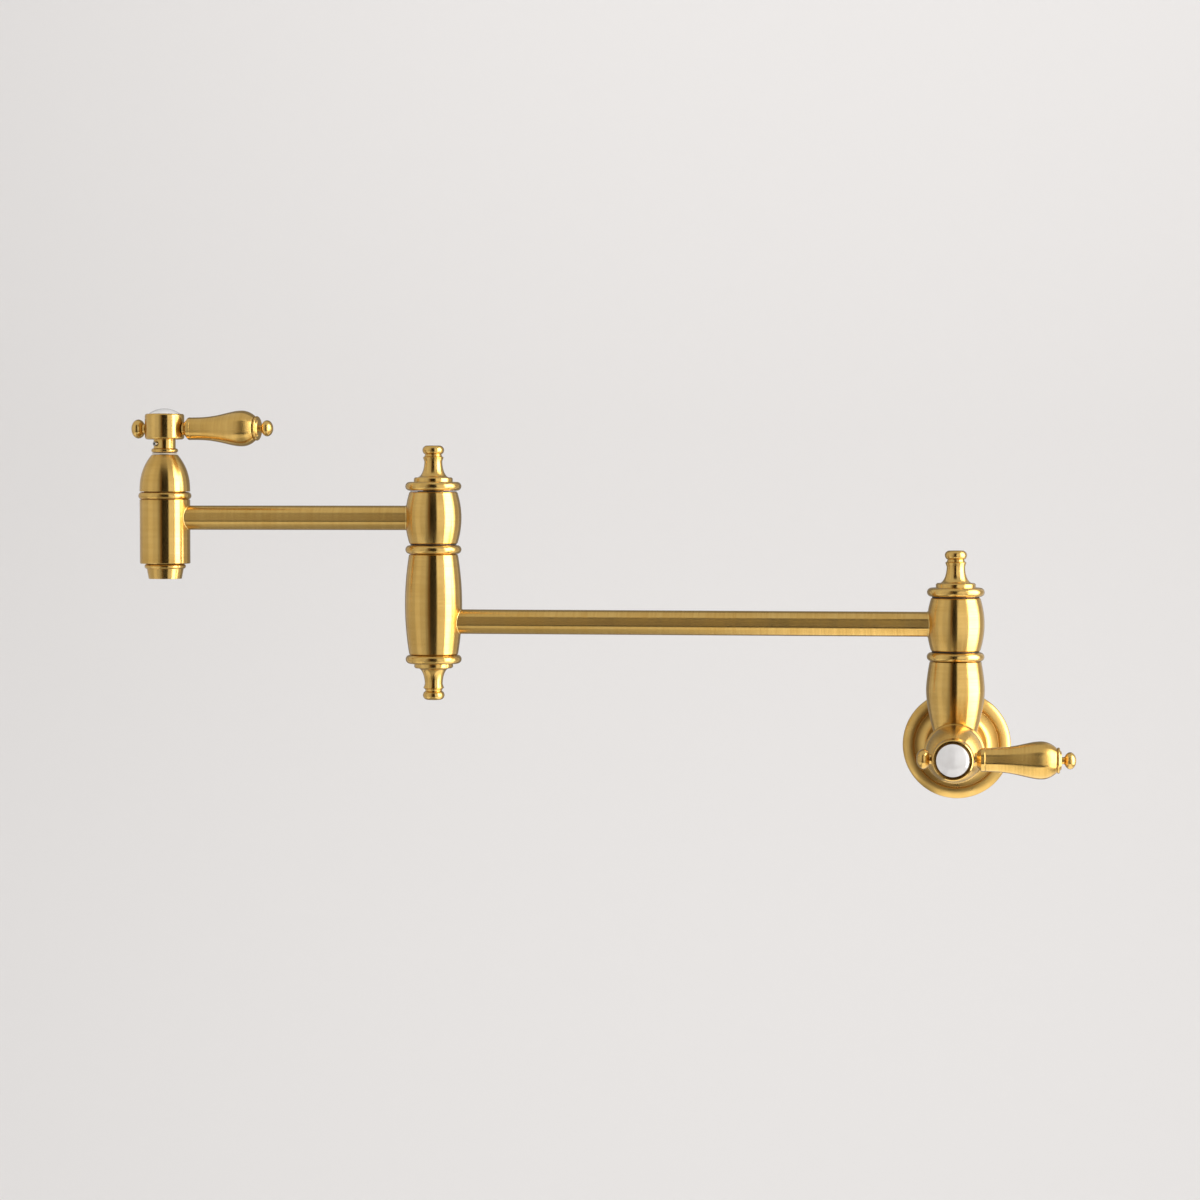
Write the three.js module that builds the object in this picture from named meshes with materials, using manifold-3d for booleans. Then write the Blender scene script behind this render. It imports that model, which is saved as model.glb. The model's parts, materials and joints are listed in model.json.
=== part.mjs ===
// A double-jointed wall mounted pot filler: a wall valve with a swivelling long arm, an elbow,
// a short arm and a spout with a valve of its own. Millimetres, +Z up.
// The origin is the middle of the flange's back face. X runs to the right along the wall and
// Y into the wall, so the tap stands on the -Y side. Both arms point to -X.
import * as THREE from "three";
import { mergeVertices } from "three/addons/utils/BufferGeometryUtils.js";
import Module from "manifold-3d";

// ---- Layout ----
const AXIS_FROM_WALL = 62; // swivel axes and both arms, out from the wall
const LONG_REACH = 404; // wall swivel to elbow
const SHORT_REACH = 215; // elbow to spout
const TUBE_DIAMETER = 19.05; // three-quarter inch tube
const TUBE_WALL = 1.5;
const TUBE_STOP = 14; // where a tube ends, out from the axis of the piece it enters

// ---- Clearances ----
const SEAT = 0.3; // between pieces that rest on or in each other
const SWIVEL_GAP = 1; // seen above and below each turning barrel, where the washers lie
const OVERRUN = 1; // how far a drill or cutter runs past a face

// ---- Wall flange and its gasket ----
const FLANGE_DIAMETER = 84;
const FLANGE_DEPTH = 12;
const FLANGE_WALL = 1.6;
const FLANGE_RIM_HEIGHT = 2; // straight edge at the wall
const FLANGE_BAND_WIDTH = 8; // outer convex band
const FLANGE_BAND_HEIGHT = 6.6;
const FLANGE_GROOVE_WIDTH = 1.3;
const FLANGE_GROOVE_DEPTH = 0.6;
const FLANGE_COVE_HEIGHT = 6.8; // foot of the hollow curve up to the crown
const FLANGE_CROWN_DIAMETER = 47;
const GASKET_WIDTH = 4.6;
const GASKET_THICKNESS = 1.5;

// ---- Valve body ----
const BODY_NECK_DIAMETER = 34.6;
const BODY_FRONT = 85; // face of the front rim, out from the wall
const BODY_END_DIAMETER = 38;
const BODY_FULL_DIAMETER = 43;
const BODY_RIM_DIAMETER = 46;
const BODY_RIM_HEIGHT = 6.8;
const INLET_FACE = 1; // inlet end, out from the wall
const INLET_DIAMETER = 21; // half inch pipe thread
const INLET_DEPTH = 14;
const THROAT_DIAMETER = 12; // water way through a valve seat
const POST_TOP = 68.3;
const POST_TOP_DIAMETER = 39.2;
const POST_FULL_DIAMETER = 44.5;
const POST_FULL_HEIGHT = 46.3;
const POST_FOOT_DIAMETER = 24;
const POST_CURVE = 1.6; // power of the vase curve

// ---- Swivels ----
const BEAD_DIAMETER = 43.6;
const BEAD_HEIGHT = 6.8;
const SPINDLE_DIAMETER = 24;
const SPINDLE_THREAD_DEPTH = 14; // screwed into the post or the lower barrel
const SPINDLE_BORE = 12;
const SPINDLE_WAIST_DIAMETER = 19.6;
const SPINDLE_WAIST_HEIGHT = 16;
const SPINDLE_CAP_DIAMETER = 16; // thread that the finial screws onto
const SPINDLE_CAP_LENGTH = 8;
const CROSS_HOLE_DIAMETER = 6.4;
const ORING_SECTION = 1.9;
const ORING_GROOVE_DIAMETER = 19.8;
const ORING_SPREAD = 12.5; // from the middle of the barrel to each ring
const WASHER_DIAMETER = 36;
const BARREL_HEIGHT = 40.4;
const BARREL_FULL_DIAMETER = 43.7;
const BARREL_END_DIAMETER = 37.6;
const BARREL_EDGE = 0.6; // chamfer at a barrel's ends
const PORT_DIAMETER = 14; // from a tube's end into the bore

// ---- Elbow's lower barrel, measured from the long tube's axis ----
const LOWER_BARREL_RISE = 52.3;
const LOWER_BARREL_DROP = 25.7;
const LOWER_BARREL_FULL_DIAMETER = 44.5;
const LOWER_BARREL_END_DIAMETER = 38.2;

// ---- Finials ----
const FINIAL_DISC_DIAMETER = 30.2;
const FINIAL_DISC_HEIGHT = 3.5;
const FINIAL_FLARE_DIAMETER = 24.8;
const FINIAL_NECK_DIAMETER = 13.9;
const FINIAL_NECK_HEIGHT = 14.5; // above the bead
const FINIAL_LIP_DIAMETER = 16;
const FINIAL_LIP_HEIGHT = 19;
const FINIAL_GROOVE_DIAMETER = 13.8;
const FINIAL_KNOB_DIAMETER = 16.8;
const FINIAL_KNOB_HEIGHT = 7.3;
const FINIAL_HEIGHT = 28.3; // bead to the top of the knob
const FINIAL_EDGE = 0.9; // chamfers of the disc and under the knob
const FINIAL_KNOB_ARC = 65; // degrees of rounding above and below the knob's middle

// ---- Valves: heights run outwards from the rim that carries the bonnet ----
const CHAMBER_DIAMETER = 24.1;
const CHAMBER_DEPTH = 33.3;
const SPIGOT_DIAMETER = 32.4; // thread that carries the bonnet
const SPIGOT_WALL = 2;
const SPIGOT_HEIGHT = 5;
const WALL_BONNET_DIAMETER = 43.6;
const SPOUT_BONNET_DIAMETER = 39.5;
const BONNET_TOP_DIAMETER = 20.5;
const BONNET_HEIGHT = 29.2;
const BONNET_CURVE = 2.5; // power of the bullet curve
const BONNET_WALL = 2.8;
const BONNET_CROWN = 4.2; // thickness at the small end
const GLIDE_RING_DIAMETER = 19.5;
const GLIDE_SPACE = 1.6; // between bonnet and handle
const STEM_DIAMETER = 8;
const STEM_TOP = 46;
const STEM_FOOT_DIAMETER = 12.8;
const STEM_FOOT_HEIGHT = 2.3;
const CLIP_DIAMETER = 12.4;
const CLIP_THICKNESS = 1;
const CLIP_GROOVE_DIAMETER = 6.6;
const CLIP_OPENING = 3;
const DISC_DIAMETER = 13.8;
const DISC_THICKNESS = 2.8;
const DISC_HOLE_DIAMETER = 3.8;
const DISC_HOLE_OFFSET = 4;
const CARTRIDGE_DIAMETER = 18;
const CARTRIDGE_THREAD_DIAMETER = 23.4;
const CARTRIDGE_THREAD_LENGTH = 11;
const CARTRIDGE_NECK_LENGTH = 12; // guides the stem, below the rim
const HEX_ACROSS_FLATS = 23;
const HEX_HEIGHT = 5;
const HEX_LAP = 1; // the threaded part reaches this far into the hexagon
const WINDOW_WIDTH = 7;
const WINDOW_HEIGHT = 8;
const SEAL_OUTER_DIAMETER = 17.6;
const SEAL_INNER_DIAMETER = 12.8;
const SEAL_THICKNESS = 1.7;

// ---- Handles ----
const FOOT_RING_DIAMETER = 20.8;
const FOOT_RING_HEIGHT = 3.5;
const COLLAR_DIAMETER = 17.2;
const COLLAR_HEIGHT = 7;
const HUB_DIAMETER = 30.8;
const HUB_HEIGHT = 20.3;
const HUB_EDGE = 1.6; // rounding of the hub's edges
const HUB_RIM_WALL = 1.1; // thin lip round the button
const BUTTON_SEAT_DEPTH = 4.3;
const BUTTON_DIAMETER = 24.3;
const BUTTON_DOME_HEIGHT = 4;
const BUTTON_STALK_DIAMETER = 10;
const BUTTON_STALK_LENGTH = 2.7;
const LEVER_HEIGHT = 8.3; // lever axis above the hub's underside
const STUD_DIAMETER = 5.4;
const STUD_START = 6.5;
const SET_SCREW_DIAMETER = 3.6;
const SET_SCREW_REACH = 10.8; // its outer end, from the handle's axis
const SET_SCREW_SOCKET = 1.8; // hexagon socket, across corners
const SET_SCREW_SOCKET_DEPTH = 2;
const WALL_SET_SCREW_ANGLE = 90; // degrees round the handle's axis from the lever
const SPOUT_SET_SCREW_ANGLE = 243;
const SPOUT_LEVER_ANGLE = -6; // the spout's lever stands a little to the front
// Lever grip: distances run outwards from the hub's side.
const GRIP_BOSS_DIAMETER = 10;
const GRIP_BOSS_LENGTH = 1.9;
const GRIP_START_DIAMETER = 11.4;
const GRIP_CHAMFER_END = 4.9;
const GRIP_COLLAR_DIAMETER = 17.7;
const GRIP_LINE = 8; // fine turned line behind the collar
const GRIP_LINE_WIDTH = 1;
const GRIP_LINE_DEPTH = 0.4;
const GRIP_FULL = 48.4; // where the grip is thickest
const GRIP_FULL_DIAMETER = 28;
const GRIP_SWELL = 2.5; // power of the slow swelling
const GRIP_END = 59.7;
const GRIP_END_DIAMETER = 18.8;
const GRIP_END_CURVE = 2.2; // power of the quick curve to the end
const TIP_RING_DIAMETER = 19.2;
const TIP_RING_HEIGHT = 2.4;
const TIP_STEP_DIAMETER = 15;
const TIP_STEP_HEIGHT = 1.1;
const TIP_STEP_CHAMFER = 1;
const TIP_NECK_DIAMETER = 5.2;
const TIP_NECK_LENGTH = 1.8;
const TIP_BALL_DIAMETER = 12.6;
const TIP_BALL_LENGTH = 8.9;
const TIP_SOCKET = 3.2; // depth of the stud's thread in the tip
const COUNTER_BALL_DIAMETER = 15;
const COUNTER_BALL_LENGTH = 10.4;
const COUNTER_NECK_DIAMETER = 7.4;
const COUNTER_NECK_LENGTH = 1;
const COUNTER_STUD_LENGTH = 7;
const BALL_FOOT = -60; // degrees below a ball's middle, where it meets its neck

// ---- Spout, measured from the short tube's axis ----
const SPOUT_DIAMETER = 39.4;
const SPOUT_BOTTOM = 36.2;
const SPOUT_RIM_TOP = 20.2;
const SPOUT_BEAD_DIAMETER = 41.4;
const SPOUT_BEAD_HEIGHT = 6;
const AERATOR_SOCKET_DIAMETER = 27.4;
const AERATOR_SOCKET_DEPTH = 9.5;
const AERATOR_THREAD_LENGTH = 7;
const AERATOR_RIM_DIAMETER = 32.3;
const AERATOR_RIM_HEIGHT = 3.7;
const AERATOR_TOP_DIAMETER = 28.8;
const AERATOR_BOTTOM_DIAMETER = 25.8;
const AERATOR_HEIGHT = 11.9; // below the spout body
const AERATOR_BORE = 22.4;
const AERATOR_LIP = 1; // inward lip that holds the insert
const AERATOR_LIP_HEIGHT = 0.6;
const INSERT_WALL = 1.5;
const INSERT_PLATE = 2;
const INSERT_HOLE_DIAMETER = 4.4;
const INSERT_HOLE_PITCH = 6;
const AERATOR_WASHER_THICKNESS = 1.8;
const AERATOR_WASHER_BORE = 19;

// ---- Facets ----
const LARGE = 24; // facets round the flange and the spout body
const BODY = 18; // facets round barrels, spindles and what turns on them
const MEDIUM = 16; // finials, tubes and grips
const SMALL = 12; // cartridges and other hidden pieces
const FEW = 8; // drilled holes
const ORING_SIDES = 5; // of a ring's section

// ---- Places that follow from the sizes above ----
const LONG_TUBE_Z = POST_TOP + SEAT + BEAD_HEIGHT + SWIVEL_GAP + BARREL_HEIGHT / 2;
const ELBOW_BEAD_Z = LONG_TUBE_Z + LOWER_BARREL_RISE + SEAT;
const SHORT_TUBE_Z = ELBOW_BEAD_Z + BEAD_HEIGHT + SWIVEL_GAP + BARREL_HEIGHT / 2;
const HANDLE_FOOT = BONNET_HEIGHT + GLIDE_SPACE;
const HUB_BOTTOM = HANDLE_FOOT + FOOT_RING_HEIGHT + COLLAR_HEIGHT;
const HUB_TOP = HUB_BOTTOM + HUB_HEIGHT;
const BUTTON_FLOOR = HUB_TOP - BUTTON_SEAT_DEPTH;
const GRIP_FOOT = HUB_DIAMETER / 2 + SEAT;
const CARTRIDGE_BOTTOM = SEAL_THICKNESS + 2 * SEAT - CHAMBER_DEPTH;
const FIXED_DISC_TOP = CARTRIDGE_BOTTOM + DISC_THICKNESS;
const MOVING_DISC_TOP = FIXED_DISC_TOP + SEAT + DISC_THICKNESS;

const wasm = await Module();
wasm.setup();

const FINISHES = {
  brushedBrass: { color: 0xb8934a, roughness: 0.36, metalness: 1 },
  polishedBrass: { color: 0xc39b52, roughness: 0.2, metalness: 1 },
  plainBrass: { color: 0xb59a5c, roughness: 0.45, metalness: 1 },
  porcelain: { color: 0xf2eeea, roughness: 0.08, metalness: 0 },
  ceramic: { color: 0xe4e0d6, roughness: 0.3, metalness: 0 },
  rubber: { color: 0x1c1c1c, roughness: 0.8, metalness: 0 },
  nylon: { color: 0xe8e4dc, roughness: 0.5, metalness: 0 },
  steel: { color: 0x9a9a98, roughness: 0.3, metalness: 1 },
};

// ---- Shapes ----

/** A profile of [radius, height] points turned round Z. It starts and ends on the axis. */
function turned(profile, facets) {
  const points = profile.map(([radius, height]) => new THREE.Vector2(radius, height));
  return new THREE.LatheGeometry(points, facets).rotateX(Math.PI / 2);
}

/** A hollow turned piece: its profile runs up the outside, down the inside and closes. */
function turnedRing(profile, facets) {
  return turned([...profile, profile[0]], facets);
}

/** A plain ring between two heights. */
function ring(outerRadius, innerRadius, bottom, top, facets) {
  const profile = [
    [outerRadius, bottom],
    [outerRadius, top],
    [innerRadius, top],
    [innerRadius, bottom],
  ];
  return turnedRing(profile, facets);
}

/** A round bar along Z between two heights. */
function bar(radius, bottom, top, facets) {
  const profile = [
    [0, bottom],
    [radius, bottom],
    [radius, top],
    [0, top],
  ];
  return turned(profile, facets);
}

/** The corner radius of a faceted hole whose flats lie at the given radius. */
function holeRadius(radius, facets) {
  return radius / Math.cos(Math.PI / facets);
}

/** Points on an ellipse, from one angle in degrees to another. */
function arc(radius, height, across, up, from, to, steps) {
  const points = [];
  for (let i = 0; i <= steps; i += 1) {
    const angle = THREE.MathUtils.degToRad(from + ((to - from) * i) / steps);
    points.push([radius + across * Math.cos(angle), height + up * Math.sin(angle)]);
  }
  return points;
}

/** The outline of a half-round bead whose foot is at the given height. */
function bead(diameter, bottom, height) {
  const half = height / 2;
  return arc(diameter / 2 - half, bottom + half, half, half, -90, 90, 4);
}

/** An outline that is fullest at one height and draws in towards both ends. */
function swelling(bottom, top, fullest, radii, power, steps) {
  const points = [];
  for (let i = 0; i <= steps; i += 1) {
    const height = bottom + ((top - bottom) * i) / steps;
    const below = height < fullest;
    const end = below ? radii.bottom : radii.top;
    const share = below ? (fullest - height) / (fullest - bottom) : (height - fullest) / (top - fullest);
    points.push([radii.full - (radii.full - end) * share ** power, height]);
  }
  return points;
}

/** A barrel's outline, with a small chamfer at each end. */
function barrelOutline(bottom, top, endDiameter, fullDiameter, steps) {
  const radii = { bottom: endDiameter / 2, top: endDiameter / 2, full: fullDiameter / 2 };
  const middle = (bottom + top) / 2;
  const body = swelling(bottom + BARREL_EDGE, top - BARREL_EDGE, middle, radii, 2, steps);
  const inset = endDiameter / 2 - BARREL_EDGE;
  return [[inset, bottom], ...body, [inset, top]];
}

function solidOf(geometry) {
  const bare = geometry.clone();
  bare.deleteAttribute("normal");
  bare.deleteAttribute("uv");
  const merged = mergeVertices(bare, 1e-3);
  const mesh = new wasm.Mesh({
    numProp: 3,
    vertProperties: merged.attributes.position.array,
    triVerts: new Uint32Array(merged.index.array),
  });
  return new wasm.Manifold(mesh);
}

function geometryOf(solid) {
  const mesh = solid.getMesh();
  const geometry = new THREE.BufferGeometry();
  geometry.setAttribute("position", new THREE.BufferAttribute(mesh.vertProperties, 3));
  geometry.setIndex(new THREE.BufferAttribute(mesh.triVerts, 1));
  geometry.computeVertexNormals();
  return geometry;
}

function join(first, ...others) {
  return geometryOf(others.reduce((sum, other) => sum.add(solidOf(other)), solidOf(first)));
}

function cut(first, ...tools) {
  return geometryOf(tools.reduce((rest, tool) => rest.subtract(solidOf(tool)), solidOf(first)));
}

/** Turns a piece made along Z so that it lies along X. */
function alongX(geometry) {
  return geometry.rotateY(Math.PI / 2);
}

/** Turns a piece made along Z so that it stands out from the wall, along -Y. */
function outOfWall(geometry) {
  return geometry.rotateX(Math.PI / 2);
}

/** The socket for a tube that comes from +X, and its port into the bore. */
function tubeSocket(height) {
  const socket = holeRadius(TUBE_DIAMETER / 2 + SEAT, MEDIUM);
  const deep = bar(socket, TUBE_STOP - SEAT, BEAD_DIAMETER, MEDIUM);
  const port = bar(PORT_DIAMETER / 2, 0, TUBE_STOP, FEW);
  return [deep, port].map((tool) => alongX(tool).translate(0, 0, height));
}

// ---- Wall flange ----

function wallFlange() {
  const rim = FLANGE_DIAMETER / 2;
  const bandInside = rim - FLANGE_BAND_WIDTH;
  const bandRise = FLANGE_BAND_HEIGHT - FLANGE_RIM_HEIGHT;
  const grooveFloor = FLANGE_BAND_HEIGHT - FLANGE_GROOVE_DEPTH;
  const coveOutside = bandInside - FLANGE_GROOVE_WIDTH;
  const coveWidth = coveOutside - FLANGE_CROWN_DIAMETER / 2;
  const coveRise = FLANGE_DEPTH - FLANGE_COVE_HEIGHT;
  const bore = BODY_NECK_DIAMETER / 2 + SEAT;
  const innerWidth = coveWidth + FLANGE_WALL;
  const innerRise = coveRise + FLANGE_WALL;
  const innerStart = 180 + THREE.MathUtils.radToDeg(Math.asin(FLANGE_WALL / innerRise));
  const bandWidth = FLANGE_BAND_WIDTH - FLANGE_WALL;
  const profile = [
    [rim, 0],
    ...arc(bandInside, FLANGE_RIM_HEIGHT, FLANGE_BAND_WIDTH, bandRise, 0, 90, 3),
    [bandInside, grooveFloor],
    [coveOutside, grooveFloor],
    ...arc(coveOutside, FLANGE_DEPTH, coveWidth, coveRise, 270, 180, 3),
    [bore, FLANGE_DEPTH],
    [bore, FLANGE_DEPTH - FLANGE_WALL],
    ...arc(coveOutside, FLANGE_DEPTH, innerWidth, innerRise, innerStart, 270, 2),
    ...arc(bandInside, FLANGE_RIM_HEIGHT, bandWidth, bandRise - FLANGE_WALL, 90, 0, 2),
    [rim - FLANGE_WALL, 0],
  ];
  return outOfWall(turnedRing(profile, LARGE));
}

function flangeGasket() {
  const outer = FLANGE_DIAMETER / 2 - FLANGE_WALL - SEAT;
  return outOfWall(ring(outer, outer - GASKET_WIDTH, 0, GASKET_THICKNESS, LARGE));
}

// ---- Valve bodies ----

/** The spigot that a bonnet screws onto, standing on a rim. */
function spigotOutline(rimTop) {
  return [
    [SPIGOT_DIAMETER / 2, rimTop],
    [SPIGOT_DIAMETER / 2, rimTop + SPIGOT_HEIGHT],
    [0, rimTop + SPIGOT_HEIGHT],
  ];
}

/** The room that a cartridge takes up below a rim, and the throat down to the given depth. */
function cartridgeRoom(rimTop, throatBottom) {
  const clear = rimTop + SPIGOT_HEIGHT + SEAT;
  return [
    bar(SPIGOT_DIAMETER / 2 - SPIGOT_WALL, rimTop, clear, BODY),
    bar(CHAMBER_DIAMETER / 2, rimTop - CHAMBER_DEPTH, clear, SMALL),
    bar(THROAT_DIAMETER / 2, throatBottom, rimTop, FEW),
  ];
}

function postOutline() {
  const radii = {
    bottom: POST_FOOT_DIAMETER / 2,
    top: POST_TOP_DIAMETER / 2,
    full: POST_FULL_DIAMETER / 2,
  };
  const curve = swelling(0, POST_TOP, POST_FULL_HEIGHT, radii, POST_CURVE, 6);
  return [[0, 0], ...curve, [0, POST_TOP]];
}

function valveBody() {
  const neck = BODY_NECK_DIAMETER / 2;
  const shoulder = FLANGE_DEPTH + SEAT;
  const rimBottom = BODY_FRONT - BODY_RIM_HEIGHT;
  const outline = [
    [0, INLET_FACE],
    [neck, INLET_FACE],
    [neck, shoulder],
    ...barrelOutline(shoulder, rimBottom, BODY_END_DIAMETER, BODY_FULL_DIAMETER, 4),
    ...bead(BODY_RIM_DIAMETER, rimBottom, BODY_RIM_HEIGHT),
    ...spigotOutline(BODY_FRONT),
  ];
  const barrel = outOfWall(turned(outline, BODY));
  const post = turned(postOutline(), BODY).translate(0, -AXIS_FROM_WALL, 0);
  const inlet = bar(INLET_DIAMETER / 2, 0, INLET_FACE + INLET_DEPTH, SMALL);
  const waterWays = [inlet, ...cartridgeRoom(BODY_FRONT, INLET_FACE)].map(outOfWall);
  const thread = SPINDLE_THREAD_DEPTH + SEAT;
  const seat = holeRadius(SPINDLE_DIAMETER / 2 + SEAT, BODY);
  const socket = bar(seat, POST_TOP - thread, POST_TOP + OVERRUN, BODY);
  const riser = bar(SPINDLE_BORE / 2, 0, POST_TOP, FEW);
  const upright = [socket, riser].map((tool) => tool.translate(0, -AXIS_FROM_WALL, 0));
  return cut(join(barrel, post), ...waterWays, ...upright);
}

function spoutBody() {
  const beadBottom = SPOUT_RIM_TOP - SPOUT_BEAD_HEIGHT;
  const outline = [
    [0, -SPOUT_BOTTOM],
    [SPOUT_DIAMETER / 2 - BARREL_EDGE, -SPOUT_BOTTOM],
    [SPOUT_DIAMETER / 2, BARREL_EDGE - SPOUT_BOTTOM],
    [SPOUT_DIAMETER / 2, beadBottom],
    ...bead(SPOUT_BEAD_DIAMETER, beadBottom, SPOUT_BEAD_HEIGHT).slice(1),
    ...spigotOutline(SPOUT_RIM_TOP),
  ];
  const socketTop = AERATOR_SOCKET_DEPTH - SPOUT_BOTTOM;
  const socket = bar(AERATOR_SOCKET_DIAMETER / 2, -SPOUT_BOTTOM - OVERRUN, socketTop, BODY);
  const room = cartridgeRoom(SPOUT_RIM_TOP, -SPOUT_BOTTOM);
  return cut(turned(outline, LARGE), socket, ...room, ...tubeSocket(0));
}

// ---- Swivels: heights run up from the underside of the spindle's bead ----

const BARREL_BOTTOM = BEAD_HEIGHT + SWIVEL_GAP;
const BARREL_MIDDLE = BARREL_BOTTOM + BARREL_HEIGHT / 2;
const FINIAL_BOTTOM = BARREL_BOTTOM + BARREL_HEIGHT + SWIVEL_GAP;
const WASHER_THICKNESS = SWIVEL_GAP / 2;
const ORING_RADIUS = (ORING_GROOVE_DIAMETER + ORING_SECTION) / 2 + SEAT / 2;

/** Step in from the shaft to a smaller radius over a given height. */
function recess(shaft, floor, middle, height) {
  return [
    [shaft, middle - height / 2],
    [floor, middle - height / 2],
    [floor, middle + height / 2],
    [shaft, middle + height / 2],
  ];
}

function spindle() {
  const shaft = SPINDLE_DIAMETER / 2;
  const bore = SPINDLE_BORE / 2;
  const boreTop = BARREL_MIDDLE + SPINDLE_WAIST_HEIGHT / 2;
  const groove = ORING_GROOVE_DIAMETER / 2;
  const grooveHeight = ORING_SECTION + 2 * SEAT;
  const shoulder = FINIAL_BOTTOM - SEAT;
  const cap = SPINDLE_CAP_DIAMETER / 2;
  const capTop = shoulder + SPINDLE_CAP_LENGTH;
  const outline = [
    [0, boreTop],
    [bore, boreTop - bore],
    [bore, -SPINDLE_THREAD_DEPTH],
    [shaft, -SPINDLE_THREAD_DEPTH],
    [shaft, 0],
    ...bead(BEAD_DIAMETER, 0, BEAD_HEIGHT),
    [shaft, BEAD_HEIGHT],
    ...recess(shaft, groove, BARREL_MIDDLE - ORING_SPREAD, grooveHeight),
    ...recess(shaft, SPINDLE_WAIST_DIAMETER / 2, BARREL_MIDDLE, SPINDLE_WAIST_HEIGHT),
    ...recess(shaft, groove, BARREL_MIDDLE + ORING_SPREAD, grooveHeight),
    [shaft, shoulder],
    [cap, shoulder],
    [cap, capTop],
    [0, capTop],
  ];
  const holes = [0, Math.PI / 2].map((turn) => {
    const drill = alongX(bar(CROSS_HOLE_DIAMETER / 2, -shaft, shaft, 6));
    return drill.rotateZ(turn).translate(0, 0, BARREL_MIDDLE);
  });
  return cut(turned(outline, BODY), ...holes);
}

function oring() {
  const half = ORING_SECTION / 2;
  const last = 270 - 360 / ORING_SIDES;
  const section = arc(ORING_RADIUS, 0, half, half, -90, last, ORING_SIDES - 1);
  return turnedRing(section, BODY);
}

function swivelWasher() {
  const bore = holeRadius(SPINDLE_DIAMETER / 2 + SEAT, BODY);
  return ring(WASHER_DIAMETER / 2, bore, -WASHER_THICKNESS / 2, WASHER_THICKNESS / 2, BODY);
}

/** A turning barrel with its tube socket towards +X, its middle at height 0. */
function swivelBarrel() {
  const half = BARREL_HEIGHT / 2;
  const outside = barrelOutline(-half, half, BARREL_END_DIAMETER, BARREL_FULL_DIAMETER, 4);
  const bore = holeRadius(SPINDLE_DIAMETER / 2 + SEAT, BODY);
  const outline = [...outside, [bore, half], [bore, -half]];
  return cut(turnedRing(outline, BODY), ...tubeSocket(0));
}

/** The elbow's lower barrel, its tube socket towards +X at height 0. */
function lowerBarrel() {
  const outline = barrelOutline(
    -LOWER_BARREL_DROP,
    LOWER_BARREL_RISE,
    LOWER_BARREL_END_DIAMETER,
    LOWER_BARREL_FULL_DIAMETER,
    6,
  );
  const bore = holeRadius(SPINDLE_DIAMETER / 2 + SEAT, BODY);
  const plug = holeRadius(SPINDLE_CAP_DIAMETER / 2 + SEAT, SMALL);
  const threadBottom = LOWER_BARREL_RISE - SPINDLE_THREAD_DEPTH - SEAT;
  const inside = [
    [bore, LOWER_BARREL_RISE],
    [bore, threadBottom],
    [plug, threadBottom],
    [plug, -LOWER_BARREL_DROP],
  ];
  return cut(turnedRing([...outline, ...inside], BODY), ...tubeSocket(0));
}

/** The visible turned shape of a finial, from the foot of its bead to the top of its knob. */
function finialOutline() {
  const disc = FINIAL_DISC_DIAMETER / 2;
  const discTop = BEAD_HEIGHT + FINIAL_DISC_HEIGHT;
  const neck = FINIAL_NECK_DIAMETER / 2;
  const neckHeight = BEAD_HEIGHT + FINIAL_NECK_HEIGHT;
  const flare = FINIAL_FLARE_DIAMETER / 2 - neck;
  const lip = BEAD_HEIGHT + FINIAL_LIP_HEIGHT;
  const top = BEAD_HEIGHT + FINIAL_HEIGHT;
  const knobMiddle = top - FINIAL_KNOB_HEIGHT / 2;
  const groove = FINIAL_GROOVE_DIAMETER / 2;
  const round = FINIAL_KNOB_HEIGHT / 2;
  const knob = FINIAL_KNOB_DIAMETER / 2;
  return [
    ...bead(BEAD_DIAMETER, 0, BEAD_HEIGHT),
    [disc, BEAD_HEIGHT],
    [disc, discTop - FINIAL_EDGE],
    [disc - FINIAL_EDGE, discTop],
    ...arc(neck + flare, neckHeight, flare, neckHeight - discTop, -90, -180, 3),
    [FINIAL_LIP_DIAMETER / 2, lip],
    [groove, lip + FINIAL_EDGE],
    ...arc(knob - round, knobMiddle, round, round, -FINIAL_KNOB_ARC, FINIAL_KNOB_ARC, 4),
    [0, top],
  ];
}

/** A cap finial that screws onto a spindle. */
function capFinial() {
  const bore = holeRadius(SPINDLE_CAP_DIAMETER / 2 + SEAT, SMALL);
  const boreTop = SPINDLE_CAP_LENGTH + SEAT;
  return turned([[0, boreTop], [bore, boreTop], [bore, 0], ...finialOutline()], MEDIUM);
}

/** The finial below the elbow: a plug that screws up into the lower barrel. */
function plugFinial() {
  const plug = SPINDLE_CAP_DIAMETER / 2;
  const start = [
    [0, -SPINDLE_CAP_LENGTH],
    [plug, -SPINDLE_CAP_LENGTH],
    [plug, 0],
  ];
  return turned([...start, ...finialOutline()], MEDIUM).rotateX(Math.PI);
}

/** A straight tube along X between two places, at height 0. */
function straightTube(from, to) {
  const outer = TUBE_DIAMETER / 2;
  return alongX(ring(outer, outer - TUBE_WALL, from, to, MEDIUM));
}

// ---- Cartridge ----

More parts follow.
